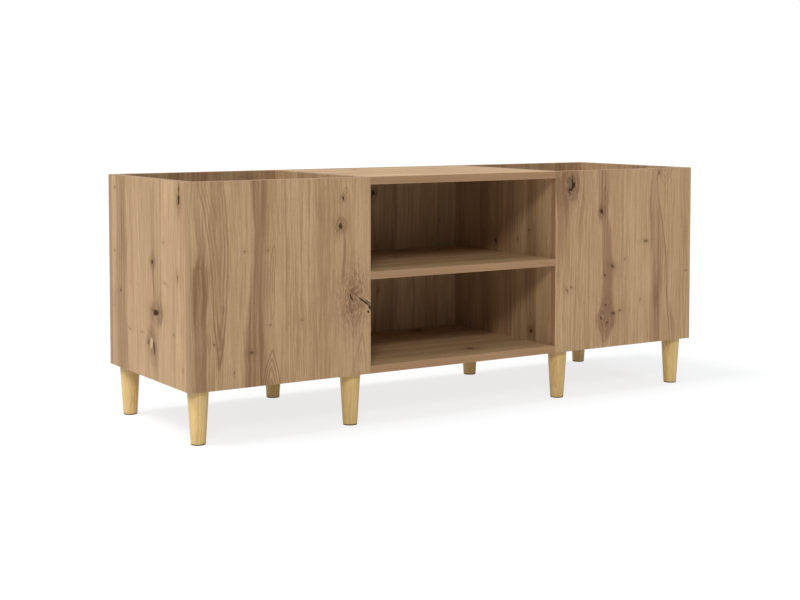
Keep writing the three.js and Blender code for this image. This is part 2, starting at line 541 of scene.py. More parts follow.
def path_place(wires: Wiring, across: Input, path: Input) -> tuple[Socket, Socket, Socket]:
    """Reads a path where it passes a place on the face.

    The path is a colour: its red is 0.5 at the middle of the face and spans 2 * PATH_REACH, its
    green is the half width in parts of PATH_WIDTH and its blue is the depth.

    Args:
        wires: The wiring of the group that reads it.
        across: The place across the face.
        path: The path's colour.

    Returns:
        The distance from the path's middle, its half width in metres and its depth.
    """
    parts = wires.add("ShaderNodeSeparateColor", {0: path}).outputs
    middle = wires.math("MULTIPLY", wires.math("SUBTRACT", parts[0], 0.5), 2 * PATH_REACH)
    away = wires.math("ABSOLUTE", wires.math("SUBTRACT", across, middle))
    return away, wires.math("MULTIPLY", parts[1], PATH_WIDTH), parts[2]


@dataclass(frozen=True)
class BandEdge:
    """How a band ends across the grain: the shares of its half width where it starts to fade."""

    edge: Range = (0.6, 1.4)
    least_half: float = 0.3 * MM

    def group(self) -> bpy.types.NodeTree:
        """Builds the group that adds one band: full depth inside its half width, with a worn edge.

        Returns:
            The node group.
        """
        group = NodeGroup(
            "band",
            [("Across", FLOAT), ("Path", COLOUR), ("Wear", FLOAT), ("Depth", FLOAT)],
            [("Depth", FLOAT)],
        )
        wires, given = group.wiring, group.inputs
        away, half, depth = path_place(wires, given["Across"], given["Path"])
        share = wires.math("DIVIDE", away, wires.math("MAXIMUM", half, self.least_half))
        worn = wires.math("ADD", share, given["Wear"])
        mask = wires.math("MULTIPLY", wires.span(worn, self.edge, FALLING), depth)
        return group.finish({"Depth": wires.math("MAXIMUM", given["Depth"], mask)})


@dataclass(frozen=True)
class ArchLines:
    """How the lines of a set of arches run.

    With f = (sqrt(away^2 + blunt^2) - half width) / spacing, a line runs where f is a whole number
    between -count and 0, and the strength of each is drawn.
    """

    blunt: float = 2.6 * MM
    wear: float = 0.12
    edge: Range = (0.06, 0.42)
    least_strength: float = 0.5

    def group(self) -> bpy.types.NodeTree:
        """Builds the group that adds one set of arches.

        Returns:
            The node group.
        """
        group = NodeGroup(
            "arches",
            [
                ("Across", FLOAT), ("Path", COLOUR), ("Spacing", FLOAT), ("Count", FLOAT),
                ("Wear", FLOAT), ("Depth", FLOAT),
            ],
            [("Depth", FLOAT)],
        )
        wires, given = group.wiring, group.inputs
        away, half, depth = path_place(wires, given["Across"], given["Path"])
        blunt = wires.math("SQRT", wires.math("MULTIPLY_ADD", away, away, self.blunt**2))
        inward = wires.math("DIVIDE", wires.math("SUBTRACT", blunt, half), given["Spacing"])
        whole = wires.math("ROUND", inward)
        off_line = wires.math("ABSOLUTE", wires.math("SUBTRACT", inward, whole))
        worn = wires.math("MULTIPLY_ADD", given["Wear"], self.wear, off_line)
        line = wires.span(worn, self.edge, FALLING)
        drawn = wires.math("MULTIPLY_ADD", wires.drawn(whole), 1 - self.least_strength, self.least_strength)
        line = wires.math("MULTIPLY", line, drawn)
        centred = wires.math("MULTIPLY_ADD", given["Count"], 0.5, inward)
        reach = wires.math("MULTIPLY_ADD", given["Count"], 0.5, 0.5)
        inside = wires.math("LESS_THAN", wires.math("ABSOLUTE", centred), reach)
        mask = wires.math("MULTIPLY", wires.math("MULTIPLY", line, inside), depth)
        return group.finish({"Depth": wires.math("MAXIMUM", given["Depth"], mask)})


@dataclass(frozen=True)
class OakTones:
    """The colours of the oak decor."""

    light: Colour = linear(195, 162, 122)
    middle: Colour = linear(165, 132, 93)
    rosy: Colour = linear(184, 147, 112)
    line: Colour = linear(112, 80, 50)
    streak: Colour = linear(136, 102, 70)
    halo: Colour = linear(112, 78, 51)
    pale: Colour = linear(202, 174, 140)
    pore: Colour = linear(108, 82, 56)
    core: Colour = linear(56, 32, 13)


TONES = OakTones()


@dataclass(frozen=True)
class OakGrain:
    """The layers of the oak decor, and how much each shows.

    The growth rings are level lines of R = a + swell + unrest, where a is the bent coordinate
    across the grain. Each ring has a dark late edge, its fraction raised to a power, of a strength
    drawn for that ring and worn along it. Fibres and pores are noise stretched along the grain.
    """

    stave_shift: float = 9.0
    rings_per_metre: float = 150.0
    unrest: Layer = Layer((60.0, 5.0, 1.0), 2.0, 5.0)
    unrest_rings: float = 3.0
    late_edge_power: float = 4.0
    line_wear: Mask = Mask(Layer((300.0, 14.0, 1.0), 2.0, 25.0), (0.35, 0.6))
    line_swell: Range = (0.001, 0.012)
    line_strength: Range = (0.34, 0.8)
    broad: Layer = Layer((26.0, 1.1, 1.0), 2.0, 11.0)
    broad_weight: float = 0.26
    fibre: Layer = Layer((190.0, 4.0, 1.0), 3.0, 9.0)
    fibre_weight: float = 0.30
    fine: Layer = Layer((560.0, 14.0, 1.0), 2.0, 15.0)
    fine_weight: float = 0.36
    patch: Layer = Layer((7.0, 2.6, 1.0), 1.0, 13.0)
    patch_weight: float = 0.14
    tone_levels: Range = (0.42, 0.65)
    blush: Mask = Mask(Layer((15.0, 2.2, 1.0), 1.0, 31.0), (0.50, 0.70), (0.0, 0.5))
    streak_fibre: Range = (0.36, 0.6)
    streak_strength: Range = (0.55, 1.0)
    arch_strength: float = 0.72
    curl: float = 0.03
    halo_mottle: Mask = Mask(Layer((380.0, 110.0, 1.0), 2.0, 21.0), (0.38, 0.62), (0.25, 1.0))
    pores: Mask = Mask(Layer((1300.0, 95.0, 1.0), 1.0, 17.0), (0.60, 0.72))
    pore_strength: float = 0.3
    roughness: float = 0.56
    roughness_change: float = 0.12

    def group(self) -> bpy.types.NodeTree:
        """Builds the group that turns a place in the grain into colour, gloss and relief.

        Returns:
            The node group.
        """
        group = NodeGroup(
            "oak_decor",
            [
                ("Grain", VECTOR), ("Core", FLOAT), ("Pale", FLOAT), ("Halo", FLOAT), ("Bend", FLOAT),
                ("Swell", FLOAT), ("Bands", FLOAT), ("Lines", FLOAT), ("Stave", FLOAT),
            ],
            [("Colour", COLOUR), ("Roughness", FLOAT), ("Relief", FLOAT)],
        )
        wires, given = group.wiring, group.inputs
        across, along, seed = wires.split(given["Grain"])
        layer = wires.math("MULTIPLY_ADD", given["Stave"], self.stave_shift, seed)
        bent = wires.math("ADD", across, given["Bend"])
        grain = wires.point(bent, along, layer)

        line = self._ring_lines(wires, grain, bent, given["Swell"])
        broad = wires.noise(grain, self.broad)
        fibre = wires.noise(grain, self.fibre)
        fine = wires.noise(grain, self.fine)
        patch = wires.noise(grain, self.patch)
        pores = wires.mask(given["Grain"], self.pores)

        tone = wires.weighted(
            (broad, self.broad_weight), (fibre, self.fibre_weight), (patch, self.patch_weight),
            (fine, self.fine_weight),
        )
        colour = wires.mix(wires.span(tone, self.tone_levels), TONES.light, TONES.middle)
        colour = wires.mix(wires.mask(grain, self.blush), colour, TONES.rosy)
        strength = wires.span(given["Swell"], self.line_swell, self.line_strength)
        colour = wires.stain(colour, TONES.line, line, strength)
        strength = wires.span(fibre, self.streak_fibre, self.streak_strength)
        colour = wires.stain(colour, TONES.streak, given["Bands"], strength)
        colour = wires.stain(colour, TONES.line, given["Lines"], self.arch_strength)
        curled = wires.point(wires.math("MULTIPLY_ADD", patch, self.curl, bent), along, layer)
        colour = wires.stain(colour, TONES.halo, given["Halo"], wires.mask(curled, self.halo_mottle))
        colour = wires.stain(colour, TONES.pore, pores, self.pore_strength)
        colour = wires.mix(given["Core"], colour, TONES.core)
        colour = wires.mix(given["Pale"], colour, TONES.pale)
        return group.finish({
            "Colour": colour,
            "Roughness": wires.math("MULTIPLY_ADD", fine, self.roughness_change, self.roughness),
            "Relief": wires.math("MULTIPLY", pores, -1.0),
        })

    def _ring_lines(self, wires: Wiring, grain: Input, bent: Input, swell: Input) -> Socket:
        """The dark late edges of the growth rings.

        Args:
            wires: The group's wiring.
            grain: The place in the grain.
            bent: The bent coordinate across the grain.
            swell: How far the knots raise the rings.

        Returns:
            How dark the ring's edge is, 0 to 1.
        """
        unrest = wires.math("MULTIPLY", wires.noise(grain, self.unrest), self.unrest_rings)
        radius = wires.math("ADD", bent, swell)
        rings = wires.math("MULTIPLY_ADD", radius, self.rings_per_metre, unrest)
        share = wires.math("FRACT", rings)
        drawn = wires.drawn(wires.math("FLOOR", rings))
        worn = wires.mask(grain, self.line_wear)
        late_edge = wires.math("POWER", share, self.late_edge_power)
        return wires.math("MULTIPLY", late_edge, wires.math("MULTIPLY", drawn, worn))


class Finish:
    """A material under construction, with its shader already in place."""

    bump_strength: float = 0.6

    def __init__(self, name: str) -> None:
        """Starts an empty material.

        Args:
            name: The material's name.
        """
        self.material = bpy.data.materials.new(name)
        self.material.use_nodes = True
        self.material.node_tree.nodes.clear()
        self.wires = Wiring(self.material.node_tree)

    def coordinates(self, output: str) -> Socket:
        """The Object or UV coordinates of the piece."""
        return self.wires.add("ShaderNodeTexCoord", {}).outputs[output]

    def shade(self, inputs: dict[int | str, Input], relief: Input, depth: float) -> bpy.types.Material:
        """Ends the material with a Principled shader.

        Args:
            inputs: The shader's inputs by name.
            relief: A height, 0 to 1, that roughens the surface.
            depth: What a height of 1 stands for, in metres.

        Returns:
            The material.
        """
        bump = {"Strength": self.bump_strength, "Distance": depth, "Height": relief}
        normal = self.wires.add("ShaderNodeBump", bump).outputs[0]
        shader = self.wires.add("ShaderNodeBsdfPrincipled", {**inputs, "Normal": normal})
        self.wires.add("ShaderNodeOutputMaterial", {"Surface": shader.outputs[0]})
        return self.material


class OakKit:
    """The node groups that every oak face is built from, each made once."""

    def __init__(self) -> None:
        """Builds the groups."""
        self.knot = KnotFade().group()
        self.band = BandEdge().group()
        self.arches = ArchLines().group()
        self.oak = OakGrain().group()


@dataclass(frozen=True)
class OakFace:
    """The decor on a board's two faces.

    The grain wanders and ripples by the two layers times their reaches, in metres. Hairs are the
    fine streaks that wear the edges of bands and arches.
    """

    name: str
    decor: Decor
    half_width: float
    wander: Layer = Layer((6.0, 3.0, 1.0), 1.0, 1.0)
    wander_reach: float = 0.014
    ripple: Layer = Layer((30.0, 20.0, 1.0), 1.0, 3.0)
    ripple_reach: float = 0.006
    hairs: Layer = Layer((260.0, 5.0, 1.0), 3.0, 27.0)
    hair_wear: float = 0.8
    gloss: float = 0.22
    core_gloss: float = 0.06
    relief: float = 0.25 * MM
    stave_tone: float = 0.10
    stave_step: float = 0.37

    def material(self, kit: OakKit) -> bpy.types.Material:
        """Builds the face's material from the shared groups.

        The grain's coordinate wanders by slow noise and is bent by each knot, and the bands and
        arches are then read at the bent place.

        Args:
            kit: The node groups.

        Returns:
            The material.
        """
        finish = Finish(self.name)
        wires = finish.wires
        place = wires.vector("ADD", finish.coordinates("UV"), (0.0, 0.0, self.decor.seed))
        across, along, _ = wires.split(place)
        wander, ripple = wires.sway(place, self.wander), wires.sway(place, self.ripple)
        stray = wires.weighted((wander, self.wander_reach), (ripple, self.ripple_reach))
        sums = {"Core": 0.0, "Pale": 0.0, "Halo": 0.0, "Bend": stray, "Swell": 0.0}
        for mark in self.decor.knots:
            sums = self._with_knot(wires, kit.knot, place, mark, sums)
        bent = wires.math("ADD", across, sums["Bend"])
        hairs = wires.noise(wires.point(bent, along, self.decor.seed), self.hairs)
        wear = wires.math("MULTIPLY_ADD", hairs, 2 * self.hair_wear, -self.hair_wear)
        share = wires.math("MULTIPLY_ADD", along, 0.5 / PATH_REACH, 0.5)
        bands, lines = 0.0, 0.0
        for band in self.decor.bands:
            path = self._path(wires, share, band.path)
            given = {"Across": bent, "Path": path, "Wear": wear, "Depth": bands}
            bands = wires.group(kit.band, given)["Depth"]
        for arches in self.decor.arches:
            given = {
                "Across": bent,
                "Path": self._path(wires, share, arches.path),
                "Spacing": arches.spacing * MM,
                "Count": float(arches.count),
                "Wear": wear,
                "Depth": lines,
            }
            lines = wires.group(kit.arches, given)["Depth"]
        stave = self._staves(wires, across)
        decor = wires.group(kit.oak, {**sums, "Grain": place, "Bands": bands, "Lines": lines, "Stave": stave})
        gloss_change = self.core_gloss - self.gloss
        shader = {
            "Base Color": decor["Colour"],
            "Roughness": decor["Roughness"],
            "Specular IOR Level": wires.math("MULTIPLY_ADD", sums["Core"], gloss_change, self.gloss),
        }
        return finish.shade(shader, decor["Relief"], self.relief)

    def _with_knot(
        self, wires: Wiring, group: bpy.types.NodeTree, place: Input, mark: Knot, sums: dict[str, Input]
    ) -> dict[str, Input]:
        """Adds one knot to the sums so far.

        Args:
            wires: The face's wiring.
            group: The group that adds a knot.
            place: The place on the face.
            mark: The knot.
            sums: The core, pale, halo, bend and swell of the knots before it.

        Returns:
            The same sums with this knot.
        """
        core, halo, bend, swell = mark.kind.value
        given = {
            "Grain": place,
            "Middle": (mark.across * MM, mark.along * MM, self.decor.seed),
            "Radii": (mark.half_width * MM, mark.half_length * MM, 1.0),
            "Turn": math.radians(mark.turn_degrees),
            "Strengths": (core, halo, bend),
            "Swell Height": swell,
            **sums,
        }
        results = wires.group(group, given)
        return {name: results[name] for name in sums}

    @staticmethod
    def _path(wires: Wiring, share: Input, rows: Sequence[PathRow]) -> Socket:
        """A path as a colour curve along the face, in the form that path_place reads.

        Args:
            wires: The face's wiring.
            share: The place along the face, 0 to 1 over 2 * PATH_REACH.
            rows: The path's rows.

        Returns:
            The path's colour at that place.
        """
        node = wires.add("ShaderNodeRGBCurve", {"Color": share})
        node.mapping.extend = "HORIZONTAL"
        along, across, half_width, depth = np.array(sorted(rows)).T
        places = 0.5 + 0.5 * along * MM / PATH_REACH
        channels = (
            0.5 + 0.5 * across * MM / PATH_REACH,
            np.clip(half_width * MM / PATH_WIDTH, 0.0, 1.0),
            np.clip(depth, 0.0, 1.0),
        )
        for channel, values in enumerate(channels):
            curve = node.mapping.curves[channel]
            curve.points[0].location = (places[0], values[0])
            curve.points[1].location = (places[-1], values[-1])
            for at, value in zip(places[1:-1], values[1:-1]):
                curve.points.new(at, value)
            for point in curve.points:
                point.handle_type = "AUTO_CLAMPED"
        node.mapping.update()
        return node.outputs[0]

    def _staves(self, wires: Wiring, across: Input) -> Socket:
        """A number for the stave that a place across the face lies in, from a stepped ramp.

        Args:
            wires: The face's wiring.
            across: The place across the face.

        Returns:
            The stave's number, 0 to 1.
        """
        share = wires.math("MULTIPLY_ADD", across, 0.5 / self.half_width, 0.5)
        node = wires.add("ShaderNodeValToRGB", {"Fac": share})
        ramp = node.color_ramp
        ramp.interpolation = "CONSTANT"
        ramp.elements.remove(ramp.elements[-1])
        ramp.elements[0].color = self._stave_colour(0)
        for index, start in enumerate(self.decor.staves, start=1):
            at = min(max(0.5 + 0.5 * start * MM / self.half_width, 0.0), 1.0)
            ramp.elements.new(at).color = self._stave_colour(index)
        return node.outputs[0]

    def _stave_colour(self, index: int) -> Colour:
        """The grey that carries a stave's number, which is the fraction of its steps."""
        tone = (self.stave_tone + index * self.stave_step) % 1.0
        return (tone, tone, tone, 1.0)


@dataclass(frozen=True)
class EdgeBand:
    """The plain edge band: fine lines that run along the edge."""

    light: Colour = linear(170, 133, 95)
    dark: Colour = linear(152, 116, 81)
    fibre: Layer = Layer((420.0, 5.0, 1.0), 3.0, 2.0)
    fibre_weight: float = 0.6
    slow: Layer = Layer((30.0, 2.5, 1.0), 1.0, 4.0)
    slow_weight: float = 0.4
    tone_levels: Range = (0.34, 0.66)
    pores: Mask = Mask(Layer((900.0, 70.0, 1.0), 1.0, 6.0), (0.62, 0.74))
    pore_strength: float = 0.3
    roughness: float = 0.52
    gloss: float = 0.35
    relief: float = 0.1 * MM

    def material(self) -> bpy.types.Material:
        """Builds the material.

        Returns:
            The material.
        """
        finish = Finish("oak_edge_band")
        wires = finish.wires
        place = finish.coordinates("UV")
        fibre, slow = wires.noise(place, self.fibre), wires.noise(place, self.slow)
        tone = wires.weighted((slow, self.slow_weight), (fibre, self.fibre_weight))
        colour = wires.mix(wires.span(tone, self.tone_levels), self.light, self.dark)
        pores = wires.mask(place, self.pores)
        colour = wires.stain(colour, TONES.pore, pores, self.pore_strength)
        shader = {"Base Color": colour, "Roughness": self.roughness, "Specular IOR Level": self.gloss}
        return finish.shade(shader, wires.math("MULTIPLY", pores, -1.0), self.relief)


@dataclass(frozen=True)
class Chipboard:
    """The bare board in a bored hole: pressed chips of many browns."""

    light: Colour = linear(196, 168, 128)
    dark: Colour = linear(120, 90, 58)
    chips_per_metre: float = 900.0
    roughness: float = 0.9
    relief: float = 0.3 * MM

    def material(self) -> bpy.types.Material:
        """Builds the material.

        Returns:
            The material.
        """
        finish = Finish("bare_chipboard")
        wires = finish.wires
        chips = {"Vector": finish.coordinates("Object"), "Scale": self.chips_per_metre}
        shade, _, _ = wires.split(wires.add("ShaderNodeTexVoronoi", chips).outputs["Color"])
        shader = {"Base Color": wires.mix(shade, self.light, self.dark), "Roughness": self.roughness}
        return finish.shade(shader, shade, self.relief)


@dataclass(frozen=True)
class TurnedWood:
    """Pale turned wood under a clear satin lacquer.

    The growth rings are upright sheets that lean a little, at the fraction of rings_per_metre *
    (0.78 x + 0.62 y + 0.035 z + wobble), so the taper of a leg cuts them into long arches. A
    ring's dark line is its fraction raised to a power.
    """

    light: Colour = linear(226, 193, 128)
    dark: Colour = linear(200, 165, 101)
    line: Colour = linear(172, 132, 76)
    sheet: tuple[float, float, float] = (0.78, 0.62, 0.035)
    wobble: Layer = Layer((14.0, 14.0, 5.0), 2.0, 1.0)
    wobble_reach: float = 0.022
    rings_per_metre: float = 240.0
    late_edge_power: float = 3.0
    line_strength: float = 0.46
    fibre: Layer = Layer((900.0, 900.0, 22.0), 2.0, 3.0)
    fibre_weight: float = 0.45
    broad: Layer = Layer((60.0, 60.0, 4.0), 2.0, 5.0)
    broad_weight: float = 0.55
    tone_levels: Range = (0.32, 0.68)
    roughness: float = 0.42
    gloss: float = 0.4
    lacquer: float = 0.15
    lacquer_roughness: float = 0.3
    relief: float = 0.08 * MM

    def material(self) -> bpy.types.Material:
        """Builds the material.

        Returns:
            The material.
        """
        finish = Finish("turned_wood")
        wires = finish.wires
        place = finish.coordinates("Object")
        axes = wires.split(place)
        wobble = wires.noise(place, self.wobble)
        sheet = wires.weighted(*zip(axes, self.sheet), (wobble, self.wobble_reach))
        share = wires.math("FRACT", wires.math("MULTIPLY", sheet, self.rings_per_metre))
        line = wires.math("POWER", share, self.late_edge_power)
        fibre, broad = wires.noise(place, self.fibre), wires.noise(place, self.broad)
        tone = wires.weighted((broad, self.broad_weight), (fibre, self.fibre_weight))
        colour = wires.mix(wires.span(tone, self.tone_levels), self.light, self.dark)
        colour = wires.stain(colour, self.line, line, self.line_strength)
        shader = {
            "Base Color": colour,
            "Roughness": self.roughness,
            "Coat Weight": self.lacquer,
            "Coat Roughness": self.lacquer_roughness,
            "Specular IOR Level": self.gloss,
        }
        return finish.shade(shader, fibre, self.relief)


@dataclass(frozen=True)
class PlainFinish:
    """A moulded or metal finish with a little mottle in its colour, gloss and surface.

    The grain is the mottle's cells to a metre on each axis, and the depth is its height.
    """

    name: str
    light: Colour
    dark: Colour
    roughness: float
    metallic: float
    grain: tuple[float, float, float]
    depth: float
    mottle_detail: float = 3.0
    mottle_levels: Range = (0.3, 0.7)
    roughness_change: float = 0.1

    def material(self) -> bpy.types.Material:
        """Builds the material.

        Returns:
            The material.
        """
        finish = Finish(self.name)
        wires = finish.wires
        mottle = wires.noise(finish.coordinates("Object"), Layer(self.grain, self.mottle_detail))
        colour = wires.mix(wires.span(mottle, self.mottle_levels), self.light, self.dark)
        smoothest = self.roughness - self.roughness_change
        worn = wires.math("MULTIPLY_ADD", mottle, 2 * self.roughness_change, smoothest)
        shader = {"Base Color": colour, "Roughness": worn, "Metallic": self.metallic}
        return finish.shade(shader, mottle, self.depth)


GLIDE_PLASTIC = PlainFinish(
    "glide_plastic", light=linear(30, 25, 18), dark=linear(18, 15, 11),
    roughness=0.8, metallic=0.0, grain=(900.0, 900.0, 900.0), depth=0.05 * MM,
)
COVER_PLASTIC = PlainFinish(
    "cover_plastic", light=linear(170, 138, 105), dark=linear(154, 122, 91),
    roughness=0.45, metallic=0.0, grain=(700.0, 700.0, 700.0), depth=0.03 * MM,
)
ZINC_PLATE = PlainFinish(
    "zinc_plate", light=linear(196, 199, 202), dark=linear(160, 163, 168),
    roughness=0.38, metallic=1.0, grain=(260.0, 260.0, 260.0), depth=0.05 * MM,
)
MACHINED_BRASS = PlainFinish(
    "machined_brass", light=linear(214, 182, 112), dark=linear(184, 148, 84),
    roughness=0.34, metallic=1.0, grain=(90.0, 90.0, 1200.0), depth=0.04 * MM,
)


def add_object(name: str, data: bpy.types.ID) -> bpy.types.Object:
    """Puts a mesh, a lamp or a camera into the scene.

    Args:
        name: The object's name.
        data: What it shows.

    Returns:
        The object, at the origin.
    """
    added = bpy.data.objects.new(name, data)
    bpy.context.scene.collection.objects.link(added)
    return added


def shaped_piece(name: str, mesh: bpy.types.Mesh, shape: bmesh.types.BMesh) -> bpy.types.Object:
    """Makes a smoothly shaded piece from a shape, which is used up.

    Args:
        name: The piece's name.
        mesh: The mesh that the shape goes into.
        shape: The shape.

    Returns:
        The object, at the origin.
    """
    shape.to_mesh(mesh)
    shape.free()
    mesh.shade_smooth()
    return add_object(name, mesh)


def new_piece(name: str, points: np.ndarray, faces: Sequence[Sequence[int]]) -> bpy.types.Object:
    """Makes a piece from points and faces, with its doubles merged and its faces turned outwards.

    Args:
        name: The piece's name.
        points: Its points, one row each.
        faces: The points of each face.

    Returns:
        The object, at the origin.
    """
    mesh = bpy.data.meshes.new(name)
    mesh.from_pydata(points.tolist(), [], [list(face) for face in faces])
    shape = bmesh.new()
    shape.from_mesh(mesh)
    bmesh.ops.remove_doubles(shape, verts=shape.verts, dist=MERGE_DISTANCE)
    bmesh.ops.recalc_face_normals(shape, faces=shape.faces)
    return shaped_piece(name, mesh, shape)


def join_pieces(name: str, pieces: Sequence[bpy.types.Object]) -> bpy.types.Object:
    """Joins separate solids into one piece.

    Args:
        name: The joined piece's name.
        pieces: The solids, which are used up.

    Returns:
        The object, at the origin.
    """
    shape = bmesh.new()
    for piece in pieces:
        shape.from_mesh(piece.data)
        bpy.data.objects.remove(piece)
    return shaped_piece(name, bpy.data.meshes.new(name), shape)


def ring_faces(rows: int, columns: int) -> np.ndarray:
    """The quads between the rows of a grid whose columns close on themselves.

    The quad at row j and column i joins (j, i), (j, i+1), (j+1, i+1) and (j+1, i).

    Args:
        rows: How many rows the grid has.
        columns: How many points there are in a row.

    Returns:
        One row of four point numbers for each quad.
    """
    row, column = np.meshgrid(np.arange(rows - 1), np.arange(columns), indexing="ij")
    after = (column + 1) % columns
    low, high = row * columns, (row + 1) * columns
    corners = (low + column, low + after, high + after, high + column)
    return np.stack([corner.ravel() for corner in corners], axis=1)


def eased_slab(name: str, half: np.ndarray, centre: np.ndarray, ease: float, steps: int) -> bpy.types.Object:
    """A flat board whose edges and corners are rounded.

    A point is a direction n on a sphere, given by its longitude and latitude, times the easing
    radius, plus the corner of the inner core that lies on n's side: sign(n) * (half - ease).

    Args:
        name: The piece's name.
        half: Half of its size on each axis.
        centre: Its middle.
        ease: The radius of its edges.
        steps: The steps in a quarter turn.

    Returns:
        The object.
    """
    quarter = np.linspace(0.0, math.pi / 2, steps + 1)
    turn = (quarter[None, :] + np.arange(4)[:, None] * math.pi / 2).ravel()
    side_x = np.repeat([1.0, -1.0, -1.0, 1.0], steps + 1)
    side_y = np.repeat([1.0, 1.0, -1.0, -1.0], steps + 1)
    rise = np.concatenate([quarter - math.pi / 2, quarter])
    side_z = np.repeat([-1.0, 1.0], steps + 1)
    core = half - ease
    x = side_x[None, :] * core[0] + ease * np.cos(rise)[:, None] * np.cos(turn)[None, :]
    y = side_y[None, :] * core[1] + ease * np.cos(rise)[:, None] * np.sin(turn)[None, :]
    z = (side_z * core[2] + ease * np.sin(rise))[:, None] * np.ones_like(turn)[None, :]
    points = np.stack([x, y, z], axis=-1).reshape(-1, 3) + centre
    rows, columns = len(rise), len(turn)
    faces = ring_faces(rows, columns).tolist()
    faces.append(list(range(columns))[::-1])
    faces.append(list(range((rows - 1) * columns, rows * columns)))
    return new_piece(name, points, faces)


def turned_piece(
    name: str, profile: np.ndarray, centre: Sequence[float], sides: int, axis: Axis = Axis.Z
) -> bpy.types.Object:
    """A solid of revolution.

    The profile's point (radius, height) at the angle t goes to (radius cos t, radius sin t,
    height), and the three values are then rolled round so that the height lies on the axis.

    Args:
        name: The piece's name.
        profile: Its outline, one row of radius and height for each point, from axis to axis.
        centre: The point that the outline's heights and axis are measured from.
        sides: The points in a turn.
        axis: The axis that it is turned about.

    Returns:
        The object.
    """
    angle = np.linspace(0.0, 2 * math.pi, sides, endpoint=False)
    radius, height = profile[:, :1], profile[:, 1:]
    grid = np.stack([radius * np.cos(angle), radius * np.sin(angle), height + 0.0 * angle], axis=-1)
    roll = axis.value - Axis.Z.value
    points = np.roll(grid.reshape(-1, 3), roll, axis=1) + np.asarray(centre)
    return new_piece(name, points, ring_faces(len(profile), sides).tolist())


def arc(centre: Range, radius: float, start: float, end: float, steps: int) -> np.ndarray:
    """Points on an arc of an outline, from one angle to another in degrees."""
    angle = np.radians(np.linspace(start, end, steps + 1))
    return np.stack([centre[0] + radius * np.cos(angle), centre[1] + radius * np.sin(angle)], axis=1)


def box_middle(node: str) -> tuple[float, ...]:
    """The middle of a CAD node's box."""
    low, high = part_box(node)
    return tuple((start + end) / 2 for start, end in zip(low, high))


def keep_result(piece: bpy.types.Object, cutters: Sequence[bpy.types.Object]) -> None:
    """Applies a piece's modifiers to its mesh and removes the cutters that they used.

    Args:
        piece: The piece.
        cutters: The cutters.
    """
    graph = bpy.context.evaluated_depsgraph_get()
    piece.data = bpy.data.meshes.new_from_object(piece.evaluated_get(graph))
    piece.modifiers.clear()
    for cutter in cutters:
        bpy.data.objects.remove(cutter)


def ride(piece: bpy.types.Object, slot: str, *nodes: str) -> bpy.types.Object:
    """Lets a piece ride on the cabinet, in the place of the nodes given, and logs it.

    Args:
        piece: The piece.
        slot: The record's material slot that its finish comes from. Not used.
        nodes: The CAD nodes that it stands for.

    Returns:
        The piece.
    """
    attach(piece, BODY)
    if nodes:
        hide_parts(*nodes)
    LOG.info("%s: %d faces", piece.name, len(piece.data.polygons))
    return piece


def dress_turned(piece: bpy.types.Object, material: bpy.types.Material, slot: str, *nodes: str) -> None:
    """Gives a turned piece its finish and its sharp edges, and lets it ride.

    Args:
        piece: The piece.
        material: Its finish.
        slot: The record's material slot that its finish comes from.
        nodes: The CAD nodes that it stands for.
    """
    piece.data.materials.append(material)
    piece.data.set_sharp_from_angle(angle=math.radians(SHARP_DEGREES))
    ride(piece, slot, *nodes)


@dataclass(frozen=True)
class Bore:
    """A round hole to be cut, in the cabinet's frame."""

    axis: Axis
    centre: tuple[float, float, float]
    radius: float
    low: float
    high: float
    sides: int = 32

    def cutter(self, name: str, finish: bpy.types.Material) -> bpy.types.Object:
        """The solid that cuts the hole, with the finish that it leaves in the slot of a board's bores.

        Args:
            name: The cutter's name.
            finish: The finish of the hole.

        Returns:
            The cutter's object.
        """
        radii = (0.0, self.radius, self.radius, 0.0)
        outline = np.stack([radii, (self.low, self.low, self.high, self.high)], axis=1)
        cutter = turned_piece(name, outline, self.centre, self.sides, self.axis)
        mesh, slot = cutter.data, Surface.BORE.value
        for surface in Surface:
            mesh.materials.append(finish if surface is Surface.BORE else None)
        mesh.polygons.foreach_set("material_index", np.full(len(mesh.polygons), slot, np.int32))
        return cutter


